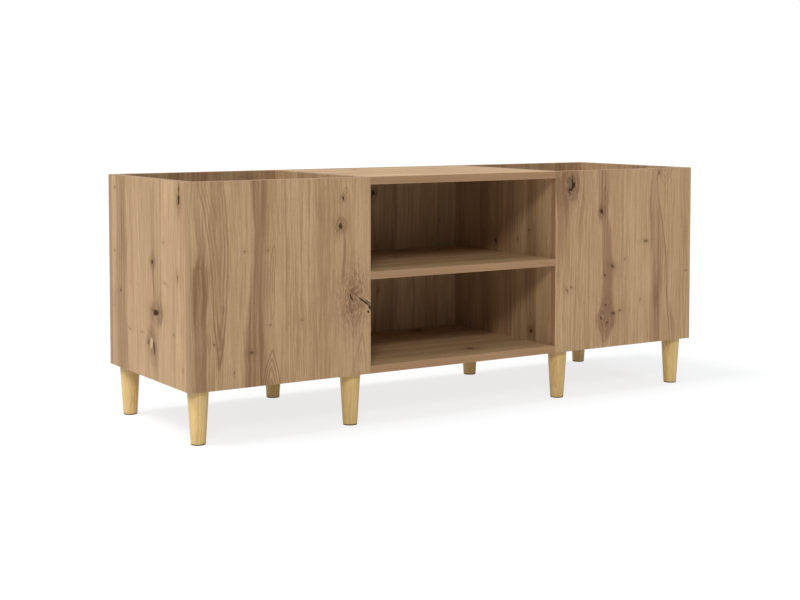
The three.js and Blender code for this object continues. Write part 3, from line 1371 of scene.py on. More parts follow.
@dataclass
class Board:
    """One decor-faced board, which stands for its CAD node."""

    node: str
    decor: Decor
    thickness: Axis
    along: Axis
    ease: float = 0.7 * MM
    ease_steps: int = 3
    face_share: float = 0.75
    flat_weight: int = 100

    def build(self, finishes: Finishes, bores: Sequence[Sequence[Bore]] = ()) -> bpy.types.Object:
        """Builds the board, cuts its holes, maps its grain and dresses it.

        Args:
            finishes: The cabinet's finishes.
            bores: Rounds of holes, in the order that they are cut.

        Returns:
            The board's object.
        """
        low, high = (np.array(corner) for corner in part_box(self.node))
        centre, half = (low + high) / 2, (high - low) / 2
        piece = self._slab(centre, half)
        width = float(half[self._across().value])
        surfaces = {
            Surface.FACE: finishes.oak(f"oak_{self.node}", self.decor, width),
            Surface.EDGE: finishes.edge,
            Surface.BORE: finishes.bare,
        }
        for surface in Surface:
            piece.data.materials.append(surfaces[surface])
        self._map_grain(piece.data, centre)
        self._cut(piece, bores, finishes.bare)
        return ride(piece, "oak_board", self.node)

    def _across(self) -> Axis:
        """The axis that lies across the grain in the face."""
        return next(axis for axis in Axis if axis not in (self.thickness, self.along))

    def _slab(self, centre: np.ndarray, half: np.ndarray) -> bpy.types.Object:
        """The slab, built with its thickness as its pole and rolled into place.

        Args:
            centre: The board's middle.
            half: Half of its size on each axis.

        Returns:
            The slab's object.
        """
        roll = self.thickness.value - Axis.Z.value
        turned = np.roll(half, -roll)
        piece = eased_slab(f"dressed_{self.node}", turned, np.zeros(3), self.ease, self.ease_steps)
        mesh = piece.data
        flat = np.empty(len(mesh.vertices) * 3)
        mesh.vertices.foreach_get("co", flat)
        placed = np.roll(flat.reshape(-1, 3), roll, axis=1) + centre
        mesh.vertices.foreach_set("co", placed.ravel())
        mesh.update()
        return piece

    def _map_grain(self, mesh: bpy.types.Mesh, centre: np.ndarray) -> None:
        """Writes the grain's coordinates to the UV map and sorts the faces into face and edge.

        On a face, u runs across the grain and v along it. On an edge, u runs through the thickness
        and v along the edge, which is the face's axis that the edge's normal doesn't point along.

        Args:
            mesh: The board's mesh.
            centre: The board's middle.
        """
        counts = np.empty(len(mesh.polygons), np.int32)
        mesh.polygons.foreach_get("loop_total", counts)
        normals = np.empty(len(mesh.polygons) * 3)
        mesh.polygons.foreach_get("normal", normals)
        normals = np.abs(normals.reshape(-1, 3))
        corners = np.empty(len(mesh.loops), np.int32)
        mesh.loops.foreach_get("vertex_index", corners)
        flat = np.empty(len(mesh.vertices) * 3)
        mesh.vertices.foreach_get("co", flat)
        local = flat.reshape(-1, 3)[corners] - centre
        across, along = self._across().value, self.along.value
        through = self.thickness.value
        is_edge = normals[:, through] < self.face_share
        runs_along = normals[:, across] >= normals[:, along]
        edge_loop, along_loop = np.repeat(is_edge, counts), np.repeat(runs_along, counts)
        u = np.where(edge_loop, local[:, through], local[:, across])
        v = np.where(edge_loop & ~along_loop, local[:, across], local[:, along])
        layer = mesh.uv_layers.new(name="grain")
        layer.data.foreach_set("uv", np.stack([u, v], axis=1).ravel())
        slots = np.where(is_edge, Surface.EDGE.value, Surface.FACE.value).astype(np.int32)
        mesh.polygons.foreach_set("material_index", slots)

    def _cut(
        self, piece: bpy.types.Object, bores: Sequence[Sequence[Bore]], bare: bpy.types.Material
    ) -> None:
        """Cuts the rounds of holes and evens out the shading of the flat faces.

        Args:
            piece: The board's object.
            bores: Rounds of holes, in the order that they are cut.
            bare: The finish of the bare board in a hole.
        """
        cutters = []
        for round_number, holes in enumerate(bores):
            for index, hole in enumerate(holes):
                cutter = hole.cutter(f"cutter_{self.node}_{round_number}_{index}", bare)
                cut = piece.modifiers.new(cutter.name, "BOOLEAN")
                cut.operation = "DIFFERENCE"
                cut.solver = "EXACT"
                cut.object = cutter
                cutters.append(cutter)
        even = piece.modifiers.new("even_normals", "WEIGHTED_NORMAL")
        even.weight = self.flat_weight
        keep_result(piece, cutters)


class Finishes:
    """Every finish of the cabinet, each made once."""

    def __init__(self) -> None:
        """Builds the oak's groups and the plain finishes."""
        self._kit = OakKit()
        self.edge = EdgeBand().material()
        self.bare = Chipboard().material()
        self.leg = TurnedWood().material()
        self.glide = GLIDE_PLASTIC.material()
        self.cover = COVER_PLASTIC.material()
        self.zinc = ZINC_PLATE.material()
        self.brass = MACHINED_BRASS.material()

    def oak(self, name: str, decor: Decor, half_width: float) -> bpy.types.Material:
        """The decor of one board's faces."""
        return OakFace(name, decor, half_width).material(self._kit)


LEFT_FRONT = Decor(
    seed=3.1,
    staves=(-84, 5),
    bands=(
        Band((
            (190, -178, 6, 0.2), (110, -170, 8, 0.35), (60, -164, 9, 0.6), (40, -165, 13, 0.85),
            (20, -166, 16, 0.95), (-20, -167, 15, 0.95), (-50, -168, 14, 0.9), (-75, -168, 14, 0.8),
            (-105, -165, 14, 0.7), (-140, -168, 13, 0.8), (-190, -166, 13, 0.75),
        )),
        Band((
            (190, -48, 15, 0.8), (120, -48, 14, 0.8), (60, -50, 13, 0.75), (0, -50, 17, 0.8),
            (-60, -53, 19, 0.85), (-120, -56, 21, 0.95), (-190, -58, 24, 0.95),
        )),
        Band((
            (190, 4, 1.5, 0.5), (100, 5, 1.5, 0.6), (0, 7, 1.6, 0.5), (-100, 6, 1.4, 0.3),
            (-190, 4, 1.2, 0.2),
        )),
        Band((
            (190, 73, 8, 0.2), (120, 76, 9, 0.3), (0, 76, 10, 0.2), (-50, 72, 8, 0.15),
            (-190, 70, 8, 0.1),
        )),
        Band((
            (92, 126, 1, 0), (84, 128, 2, 0.6), (50, 131, 3.4, 0.65), (8, 131, 4, 0.7),
            (-12, 130, 2, 0.3), (-22, 130, 1, 0),
        )),
        Band((
            (-32, -127, 1, 0), (-42, -125, 4.5, 0.5), (-52, -126, 3, 0.35), (-80, -130, 2, 0.3),
            (-92, -129, 4, 0.45), (-104, -124, 5, 0.55), (-114, -130, 7, 0.5), (-120, -132, 2, 0),
        )),
    ),
    arches=(
        Arches(
            (
                (66, -165, 0.1, 0.1), (44, -167, 6, 0.4), (20, -168, 11, 0.65), (-25, -167, 11, 0.55),
                (-52, -168, 10, 0.6), (-78, -163, 7, 0.3), (-104, -157, 4, 0.2), (-122, -155, 0.1, 0),
            ),
            5.0, 2,
        ),
        Arches(
            (
                (-162, -133, 0.1, 1.0), (-115, -130, 6, 1.0), (-50, -129, 12, 0.85), (40, -131, 16, 0.7),
                (120, -137, 20, 0.7), (190, -146, 26, 0.6),
            ),
            6.0, 4,
        ),
        Arches(
            (
                (74, -19, 0.1, 0.6), (60, -20, 4, 0.75), (20, -22, 5.5, 0.75), (-30, -21, 5, 0.6),
                (-64, -23, 3, 0.4), (-78, -24, 0.1, 0),
            ),
            3.0, 1,
        ),
        Arches(
            ((-117, -23, 0.1, 0.8), (-135, -24, 5, 0.9), (-160, -25, 12, 1.0), (-190, -25, 18, 1.0)),
            4.6, 3,
        ),
        Arches(
            (
                (177, 134, 0.1, 0.6), (168, 134, 4, 0.8), (150, 133, 9, 0.7), (120, 131, 12, 0.3),
                (100, 130, 13, 0),
            ),
            3.0, 3,
        ),
        Arches(((118, 124, 0.1, 0.6), (109, 124, 7, 0.8), (94, 124, 12, 0.5), (80, 124, 12, 0)), 3.6, 2),
        Arches(
            (
                (-18, 148, 0.1, 0), (-40, 146, 12, 0.7), (-60, 146, 16, 0.7), (-86, 148, 8, 0.6),
                (-120, 150, 3, 0),
            ),
            4.5, 3,
        ),
        Arches(((-100, 168, 0.1, 0.5), (-150, 166, 10, 0.5), (-190, 162, 18, 0.4)), 7.0, 2),
    ),
    knots=(
        Knot(129, 151, 2.2, 3.0, KnotKind.KNOT),
        Knot(123, 98, 4.4, 6.0, KnotKind.KNOT),
        Knot(-79, 61, 1.8, 1.8, KnotKind.PIN),
        Knot(-32, 60, 1.6, 1.8, KnotKind.PIN),
        Knot(38, -74, 2.6, 1.3, KnotKind.PIN),
        Knot(-27, -78, 1.8, 1.3, KnotKind.PIN),
        Knot(-101, -160, 1.2, 3.4, KnotKind.PIN),
        Knot(-141, -105, 1.2, 2.2, KnotKind.PIN),
        Knot(-66, -126, 4.4, 3.0, KnotKind.PIN),
        Knot(152, -40, 13.0, 21.0, KnotKind.BURL),
        Knot(146, -38, 1.5, 9.5, KnotKind.CRACK, -25),
        Knot(175, -49, 1.9, 19.0, KnotKind.CRACK, -52),
        Knot(183, -50, 1.3, 9.0, KnotKind.CRACK, -50),
        Knot(187, -61, 2.4, 5.0, KnotKind.CRACK, -20),
        Knot(184, -69, 2.6, 2.8, KnotKind.CRACK),
        Knot(150, -62, 1.8, 3.6, KnotKind.PIN),
    ),
)

RIGHT_FRONT = Decor(
    seed=7.7,
    staves=(-98, -14, 74),
    bands=(
        Band((
            (190, -176, 20, 0.35), (150, -169, 24, 0.65), (110, -174, 18, 0.6), (60, -178, 13, 0.5),
            (0, -182, 11, 0.3), (-60, -186, 8, 0.15), (-190, -188, 6, 0.1),
        )),
        Band((
            (190, -60, 15, 0.65), (140, -58, 15, 0.8), (102, -59, 12, 0.9), (60, -53, 13, 0.8),
            (10, -50, 15, 0.75), (-15, -46, 17, 0.85), (-60, -48, 17, 0.75), (-95, -48, 15, 0.75),
            (-110, -50, 17, 0.7), (-120, -52, 25, 0.65), (-140, -53, 23, 0.65), (-152, -55, 15, 0.7),
            (-168, -56, 11, 0.7), (-180, -57, 8, 0.5), (-190, -57, 6, 0.3),
        )),
        Band((
            (190, 85, 9, 0.3), (120, 85, 15, 0.45), (60, 92, 14, 0.55), (0, 96, 13, 0.55), (-50, 94, 14, 0.7),
            (-90, 92, 15, 0.8), (-120, 91, 15, 0.6), (-190, 90, 16, 0.55),
        )),
        Band((
            (172, 90, 1, 0.6), (130, 97, 1.7, 0.75), (65, 110, 1.9, 0.8), (-10, 120, 1.9, 0.8),
            (-110, 125, 1.7, 0.75), (-190, 131, 1.6, 0.6),
        )),
        Band((
            (190, 96, 1.6, 0.4), (160, 93, 1.6, 0.6), (90, 84, 1.8, 0.6), (20, 78, 1.6, 0.4),
            (-50, 76, 1.3, 0),
        )),
        Band(((-100, 133, 3, 0), (-130, 136, 6, 0.4), (-160, 140, 6, 0.5), (-190, 142, 5, 0.4))),
        Band(((8, -42, 1.2, 0), (0, -41, 2.5, 0.7), (-14, -36, 4, 0.9), (-24, -33, 1.5, 0))),
        Band(((-60, -50, 1.5, 0), (-68, -46, 5, 0.8), (-78, -40, 2.5, 0.9), (-86, -38, 1, 0))),
    ),
    arches=(
        Arches(((150, 114, 0.1, 0.35), (168, 115, 10, 0.45), (190, 115, 21, 0.6)), 8.0, 2),
        Arches(
            (
                (-76, -50, 0.1, 0.4), (-88, -50, 9, 0.7), (-106, -50, 11, 0.6), (-114, -52, 19, 0.7),
                (-124, -53, 24, 0.8), (-138, -53, 21, 0.8), (-152, -55, 13, 0.7), (-170, -56, 6, 0.5),
                (-180, -56, 0.1, 0.3),
            ),
            4.2, 3,
        ),
        Arches(((116, -64, 0.1, 0.5), (106, -64, 7, 0.7), (92, -64, 9, 0.4), (80, -63, 9, 0)), 3.4, 2),
        Arches(((160, -58, 0.1, 0.6), (140, -57, 6, 0.7), (118, -56, 11, 0.5), (104, -56, 13, 0)), 5.0, 2),
        Arches(
            (
                (190, -178, 34, 1.0), (165, -168, 24, 1.0), (140, -166, 16, 0.8), (110, -168, 8, 0.5),
                (80, -170, 0.1, 0),
            ),
            3.6, 6,
        ),
        Arches(((-60, 92, 0.1, 0), (-78, 92, 7, 0.6), (-100, 92, 10, 0.6), (-140, 90, 6, 0.3)), 3.6, 2),
    ),
    knots=(
        Knot(-150, 160, 14.0, 20.0, KnotKind.SWIRL),
        Knot(-151, 163, 5.6, 12.5, KnotKind.OPEN),
        Knot(-152, 164, 4.6, 11.2, KnotKind.DULL),
        Knot(-146, 164, 1.6, 15.0, KnotKind.CRACK, 4),
        Knot(-144, 159.5, 4.0, 8.0, KnotKind.CRACK, 38),
        Knot(-151, 151, 5.0, 3.0, KnotKind.CRACK, 16),
        Knot(-155, 146, 2.2, 7.0, KnotKind.PIN, -8),
        Knot(-66, 102, 3.6, 5.2, KnotKind.KNOT),
        Knot(-35, -16, 5.4, 3.0, KnotKind.PIN, 34),
        Knot(-56, -35, 2.6, 3.4, KnotKind.PIN),
        Knot(59, 33, 6.0, 1.9, KnotKind.PIN),
        Knot(-1, -4, 2.0, 1.2, KnotKind.PIN, -20),
        Knot(-53, -99, 2.6, 2.8, KnotKind.PIN),
        Knot(-53, -122, 6.5, 13.0, KnotKind.BURL),
        Knot(-33, -118, 5.4, 3.6, KnotKind.PIN),
        Knot(-65, -127, 2.6, 5.4, KnotKind.PIN, -35),
        Knot(-49, -137, 3.2, 3.0, KnotKind.PIN),
        Knot(-13, -113, 3.0, 2.0, KnotKind.PIN),
        Knot(-158, -61, 1.4, 4.0, KnotKind.PIN, -30),
        Knot(-147, -55, 1.4, 2.4, KnotKind.PIN, -30),
        Knot(44, -93, 1.3, 3.0, KnotKind.PIN),
        Knot(178, -38, 2.6, 1.4, KnotKind.PIN),
        Knot(96, 180, 2.0, 5.0, KnotKind.PIN, 20),
    ),
)

LEFT_SIDE = Decor(
    seed=12.4,
    staves=(-62, 66),
    bands=(
        Band((
            (190, 126, 24, 0.7), (150, 125, 23, 0.75), (100, 123, 23, 0.9), (60, 123, 24, 0.95),
            (0, 124, 25, 0.7), (-60, 126, 27, 0.6), (-120, 123, 26, 0.65), (-190, 122, 24, 0.65),
        )),
        Band((
            (190, -44, 16, 0.3), (120, -38, 18, 0.3), (60, -40, 18, 0.45), (0, -42, 17, 0.55),
            (-60, -44, 19, 0.6), (-110, -32, 24, 0.6), (-150, -38, 17, 0.4), (-190, -44, 14, 0.3),
        )),
        Band((
            (44, -28, 3, 0), (36, -28, 6, 0.6), (20, -28, 4.6, 0.95), (-10, -31, 5, 0.95),
            (-34, -37, 7, 0.75), (-52, -42, 8, 0.6), (-64, -42, 3, 0),
        )),
        Band(((40, -140, 2, 0), (15, -141, 4, 0.35), (-40, -139, 4, 0.3), (-90, -136, 3, 0))),
        Band(((-86, 100, 1.5, 0.1), (-100, 92, 2.5, 0.55), (-108, 84, 2, 0.3), (-112, 80, 1.5, 0))),
    ),
    arches=(
        Arches(((60, -27, 0.1, 0.6), (46, -27, 8, 0.9), (30, -27, 12, 0.7), (14, -28, 13, 0)), 4.0, 2),
        Arches(((-36, -40, 0.1, 0.4), (-50, -41, 13, 0.6), (-70, -41, 18, 0.4), (-84, -40, 18, 0)), 5.0, 2),
        Arches(
            (
                (-88, -22, 0.1, 0.4), (-102, -22, 13, 0.6), (-124, -22, 18, 0.5), (-146, -24, 10, 0.3),
                (-156, -24, 0.1, 0),
            ),
            5.0, 2,
        ),
    ),
    knots=(
        Knot(-149, 156, 4.4, 9.5, KnotKind.OPEN),
        Knot(-149, 172, 2.4, 14.0, KnotKind.KNOT),
        Knot(-27, 33, 4.2, 4.2, KnotKind.KNOT),
        Knot(-79, 74, 2.0, 2.2, KnotKind.PIN, 15),
        Knot(-141, 15, 2.8, 4.4, KnotKind.PIN),
        Knot(-85, -2, 3.6, 1.3, KnotKind.PIN, -25),
        Knot(130, -35, 4.0, 3.4, KnotKind.PIN),
        Knot(160, 41, 2.2, 1.4, KnotKind.PIN),
        Knot(157, 165, 2.2, 1.8, KnotKind.PIN),
        Knot(165, -58, 9.0, 9.0, KnotKind.SWIRL),
        Knot(-42, -61, 11.5, 6.4, KnotKind.OPEN),
        Knot(-38, -68, 8.5, 3.0, KnotKind.DULL),
        Knot(-31.5, -127, 4.0, 11.5, KnotKind.KNOT, 14),
        Knot(-19.5, -121, 6.0, 11.0, KnotKind.PALE),
        Knot(-5, -121, 5.0, 5.0, KnotKind.PIN),
        Knot(25, -105, 3.4, 1.2, KnotKind.PIN),
        Knot(86, -106, 3.0, 1.4, KnotKind.PIN),
        Knot(-123, -92, 1.6, 1.6, KnotKind.PIN),
        Knot(-162, -153, 1.8, 1.8, KnotKind.PIN),
    ),
)

MIDDLE_WALL = Decor(
    seed=17.9,
    staves=(-40, 80),
    bands=(
        Band(((175, -112, 14, 0.4), (60, -108, 18, 0.6), (-60, -104, 20, 0.7), (-175, -108, 16, 0.6))),
        Band(((175, -34, 12, 0.6), (0, -30, 16, 0.5), (-175, -26, 12, 0.5))),
        Band(((175, 64, 16, 0.6), (0, 60, 18, 0.55), (-175, 54, 16, 0.5))),
    ),
    arches=(Arches(((-110, -106, 0.1, 0.6), (-132, -107, 9, 0.8), (-160, -108, 14, 0.6)), 4.5, 2),),
    knots=(
        Knot(-108, -154, 4.2, 4.8, KnotKind.KNOT),
        Knot(-100, 62, 2.0, 2.0, KnotKind.PIN),
        Knot(-60, 40, 2.0, 4.0, KnotKind.PIN),
        Knot(20, 30, 3.0, 7.0, KnotKind.KNOT),
    ),
)

LEFT_BACK = DRAW.decor(seed=41, half_width=190, half_length=190, knot_count=9)
LEFT_INNER = DRAW.decor(seed=31, half_width=175, half_length=190, knot_count=6)
LEFT_BOTTOM = DRAW.decor(seed=42, half_width=175, half_length=175, knot_count=6)
RIGHT_BACK = DRAW.decor(seed=53, half_width=190, half_length=190, knot_count=9)
RIGHT_OUTER = DRAW.decor(seed=57, half_width=175, half_length=190, knot_count=8)
RIGHT_BOTTOM = DRAW.decor(seed=54, half_width=175, half_length=175, knot_count=6)
MIDDLE_TOP = DRAW.decor(seed=61, half_width=190, half_length=225, knot_count=5)
MIDDLE_SHELF = DRAW.decor(seed=63, half_width=182, half_length=225, knot_count=4)
MIDDLE_BOTTOM = DRAW.decor(seed=67, half_width=190, half_length=225, knot_count=5)
MIDDLE_BACK = DRAW.decor(seed=71, half_width=225, half_length=175, knot_count=9)


@dataclass
class Bin:
    """One open-topped record bin: five boards and the covers of its fittings."""

    hand: Hand
    front: Decor
    back: Decor
    outer: Decor
    inner: Decor
    bottom: Decor
    cover_radius: float = 8.6 * MM
    cover_rise: float = 0.9 * MM
    cover_rounding: float = 0.72 * MM
    cover_rounding_steps: int = 4
    cover_sides: int = 40
    cover_setback: float = 34 * MM
    cover_height_shares: tuple[float, float] = (0.16, 0.84)

    def build(
        self, finishes: Finishes, stud_bores: Sequence[Bore], insert_bores: Sequence[Sequence[Bore]]
    ) -> None:
        """Builds the bin.

        Args:
            finishes: The cabinet's finishes.
            stud_bores: The holes that the middle boards' studs enter.
            insert_bores: The stepped holes of the threaded inserts.
        """
        name = f"{self.hand.value}_bin"
        Board(f"{name}_front", self.front, Axis.Y, Axis.Z).build(finishes)
        Board(f"{name}_back", self.back, Axis.Y, Axis.Z).build(finishes)
        Board(f"{name}_outer_side", self.outer, Axis.X, Axis.Z).build(finishes)
        Board(f"{name}_inner_side", self.inner, Axis.X, Axis.Z).build(finishes, [stud_bores])
        Board(f"{name}_bottom", self.bottom, Axis.Z, Axis.Y).build(finishes, insert_bores)
        for side in ("outer_side", "inner_side"):
            self._covers(finishes, f"{name}_{side}")

    def _covers(self, finishes: Finishes, node: str) -> None:
        """The four covers on a side's inner face, over the fittings that hold the front and back.

        Args:
            finishes: The cabinet's finishes.
            node: The side's CAD node.
        """
        low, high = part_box(node)
        faces_right = box_middle(node)[0] < box_middle(f"{self.hand.value}_bin_bottom")[0]
        face = high.x if faces_right else low.x
        rounding = self.cover_rounding
        corner = (self.cover_radius - rounding, self.cover_rise - rounding)
        rim = arc(corner, rounding, 0, 90, self.cover_rounding_steps)
        outline = np.vstack([[(0.0, 0.0), (self.cover_radius, 0.0)], rim, [(0.0, self.cover_rise)]])
        outline[:, 1] *= 1.0 if faces_right else -1.0
        covers = []
        for y in (low.y + self.cover_setback, high.y - self.cover_setback):
            for share in self.cover_height_shares:
                centre = (face, y, low.z + share * (high.z - low.z))
                covers.append(turned_piece("cover", outline, centre, self.cover_sides, Axis.X))
        dress_turned(join_pieces(f"{node}_covers", covers), finishes.cover, "oak_board")


@dataclass
class Fittings:
    """The metal fittings, and the holes that they need in the boards."""

    nodes: dict[str, bpy.types.Object]
    clearance: float = 0.3 * MM
    overrun: float = 1.0 * MM
    cam_radius: float = 7.5 * MM
    stud_radius: float = 3.0 * MM
    collar_height: float = 1.2 * MM
    collar_width: float = 1.5 * MM

    def cam_bores(self, board: str) -> list[list[Bore]]:
        """The holes of one middle board's cam fittings.

        Args:
            board: The board, such as top.

        Returns:
            The cam holes, and then the stud holes.
        """
        cams, studs = [], []
        radius = self.cam_radius + self.clearance
        for name in self._named(f"cam_{board}_"):
            low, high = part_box(name)
            x = high.x - self.cam_radius if self._on_left(name) else low.x + self.cam_radius
            centre = (x, box_middle(name)[1], low.z)
            cams.append(Bore(Axis.Z, centre, radius, -self.overrun, high.z - low.z + self.clearance))
            studs.append(self._stud_bore(name, x))
        return [cams, studs]

    def stud_bores(self, hand: Hand) -> list[Bore]:
        """The stud holes in one bin's inner side.

        Args:
            hand: The bin's side of the cabinet.

        Returns:
            The holes.
        """
        bores = []
        for board in ("top", "shelf", "bottom"):
            for name in self._named(f"cam_{board}_{hand.value}_"):
                bores.append(self._stud_bore(name, box_middle(name)[0]))
        return bores

    def insert_bores(self, hand: Hand) -> list[list[Bore]]:
        """The holes of one bin's threaded inserts.

        Args:
            hand: The bin's side of the cabinet.

        Returns:
            The sunk holes of the collars, and then the deep holes.
        """
        sinks, holes = [], []
        for name in self._named(f"insert_{hand.value}_"):
            low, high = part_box(name)
            x, y, _ = box_middle(name)
            centre = (x, y, low.z)
            collar = (high.x - low.x) / 2
            sink_top = self.collar_height + self.clearance
            sinks.append(Bore(Axis.Z, centre, collar + self.clearance, -self.overrun, sink_top))
            radius = collar - self.collar_width + self.clearance
            holes.append(Bore(Axis.Z, centre, radius, -self.overrun, high.z - low.z + self.clearance))
        return [sinks, holes]

    def dress(self, finishes: Finishes) -> None:
        """Gives the metal nodes their finishes.

        Args:
            finishes: The cabinet's finishes.
        """
        for prefix, material, slot in (
            ("cam_", finishes.zinc, "zinc_steel"),
            ("hanger_bolt_", finishes.zinc, "zinc_steel"),
            ("insert_", finishes.brass, "brass"),
        ):
            for name in self._named(prefix):
                node = self.nodes[name]
                node.data.materials.clear()
                node.data.materials.append(material)
                LOG.info("%s dressed", name)

    def _named(self, prefix: str) -> list[str]:
        """The nodes whose names start so, in order."""
        return sorted(name for name in self.nodes if name.startswith(prefix))

    @staticmethod
    def _on_left(name: str) -> bool:
        """Whether a fitting is on the cabinet's left."""
        return f"_{Hand.LEFT.value}_" in name

    def _stud_bore(self, name: str, start: float) -> Bore:
        """The hole of one stud, from a place on its axis to just past its end.

        The stud lies at the middle height of the board that its cam is in, which is the second
        word of the fitting's name.

        Args:
            name: The fitting's CAD node.
            start: The place along X where the hole starts.

        Returns:
            The hole.
        """
        low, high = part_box(name)
        board = name.split("_")[1]
        centre = (start, box_middle(name)[1], box_middle(f"middle_{board}")[2])
        end = low.x - self.clearance if self._on_left(name) else high.x + self.clearance
        return Bore(Axis.X, centre, self.stud_radius + self.clearance, *sorted((0.0, end - start)))


@dataclass
class MiddleSection:
    """The top, shelf, bottom and back between the bins."""

    top: Decor = MIDDLE_TOP
    shelf: Decor = MIDDLE_SHELF
    bottom: Decor = MIDDLE_BOTTOM
    back: Decor = MIDDLE_BACK

    def build(self, finishes: Finishes, fittings: Fittings) -> None:
        """Builds the four boards with their fittings' holes.

        Args:
            finishes: The cabinet's finishes.
            fittings: The metal fittings.
        """
        for part, decor in (("top", self.top), ("shelf", self.shelf), ("bottom", self.bottom)):
            Board(f"middle_{part}", decor, Axis.Z, Axis.X).build(finishes, fittings.cam_bores(part))
        Board("middle_back", self.back, Axis.Y, Axis.Z).build(finishes)


@dataclass
class Leg:
    """One turned leg with its glide, each in the place of its CAD node."""

    place: str
    foot_radius: float = 14 * MM
    foot_rounding: float = 0.8 * MM
    foot_steps: int = 6
    top_easing: float = 0.4 * MM
    top_steps: int = 3
    bore_radius: float = 3.8 * MM
    bore_depth: float = 34.3 * MM
    stem_hole_radius: float = 2.3 * MM
    stem_hole_spare: float = 0.3 * MM
    stem_radius: float = 2.0 * MM
    pad_thickness: float = 2.0 * MM
    pad_radius: float = 13.5 * MM
    pad_rounding: float = 0.4 * MM
    pad_steps: int = 4
    sides: int = 72

    def build(self, finishes: Finishes) -> None:
        """Builds the leg and the glide."""
        self._turn(f"leg_{self.place}", self._leg_outline(), finishes.leg, "turned_wood")
        self._turn(f"glide_{self.place}", self._glide_outline(), finishes.glide, "glide_plastic")

    def _turn(self, node: str, outline: np.ndarray, finish: bpy.types.Material, slot: str) -> None:
        """Turns a piece about the upright through the middle of its CAD node, and dresses it.

        Args:
            node: The CAD node that it stands for.
            outline: Its outline, in heights above the floor.
            finish: Its finish.
            slot: The record's material slot that its finish comes from.
        """
        x, y, _ = box_middle(node)
        piece = turned_piece(f"dressed_{node}", outline, (x, y, 0.0), self.sides)
        dress_turned(piece, finish, slot, node)

    def _leg_outline(self) -> np.ndarray:
        """A straight taper between a rounded foot and an eased top, with both of the leg's holes.

        Returns:
            The outline, from the top of the glide's hole round to the foot of the bolt's.
        """
        low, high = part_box(f"leg_{self.place}")
        stem_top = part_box(f"glide_{self.place}")[1].z + self.stem_hole_spare
        bore_end = high.z - self.bore_depth
        top_radius = (high.x - low.x) / 2
        rounding, easing = self.foot_rounding, self.top_easing
        return np.vstack([
            [(0.0, stem_top), (self.stem_hole_radius, stem_top), (self.stem_hole_radius, low.z)],
            arc((self.foot_radius - rounding, low.z + rounding), rounding, -90, 0, self.foot_steps),
            arc((top_radius - easing, high.z - easing), easing, 0, 90, self.top_steps),
            [(self.bore_radius, high.z), (self.bore_radius, bore_end), (0.0, bore_end)],
        ])

    def _glide_outline(self) -> np.ndarray:
        """A pad with a rounded lower edge, and its stem.

        Returns:
            The outline, from the middle of the pad's underside to the top of the stem.
        """
        low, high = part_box(f"glide_{self.place}")
        rounding = self.pad_rounding
        return np.vstack([
            [(0.0, low.z)],
            arc((self.pad_radius - rounding, rounding), rounding, -90, 0, self.pad_steps),
            [(self.pad_radius, self.pad_thickness), (self.stem_radius, self.pad_thickness)],
            [(self.stem_radius, high.z), (0.0, high.z)],
        ])


@dataclass(frozen=True)
class Lamp:
    """A broad distant lamp: where it shines from, how strong it is and how wide it looks."""

    name: str
    towards: tuple[float, float, float]
    strength: float
    width_degrees: float

    def build(self) -> None:
        """Adds the lamp."""
        data = bpy.data.lights.new(self.name, "SUN")
        data.energy = self.strength
        data.angle = math.radians(self.width_degrees)
        lamp = add_object(self.name, data)
        lamp.rotation_mode = "QUATERNION"
        lamp.rotation_quaternion = Vector(self.towards).to_track_quat("Z", "Y")


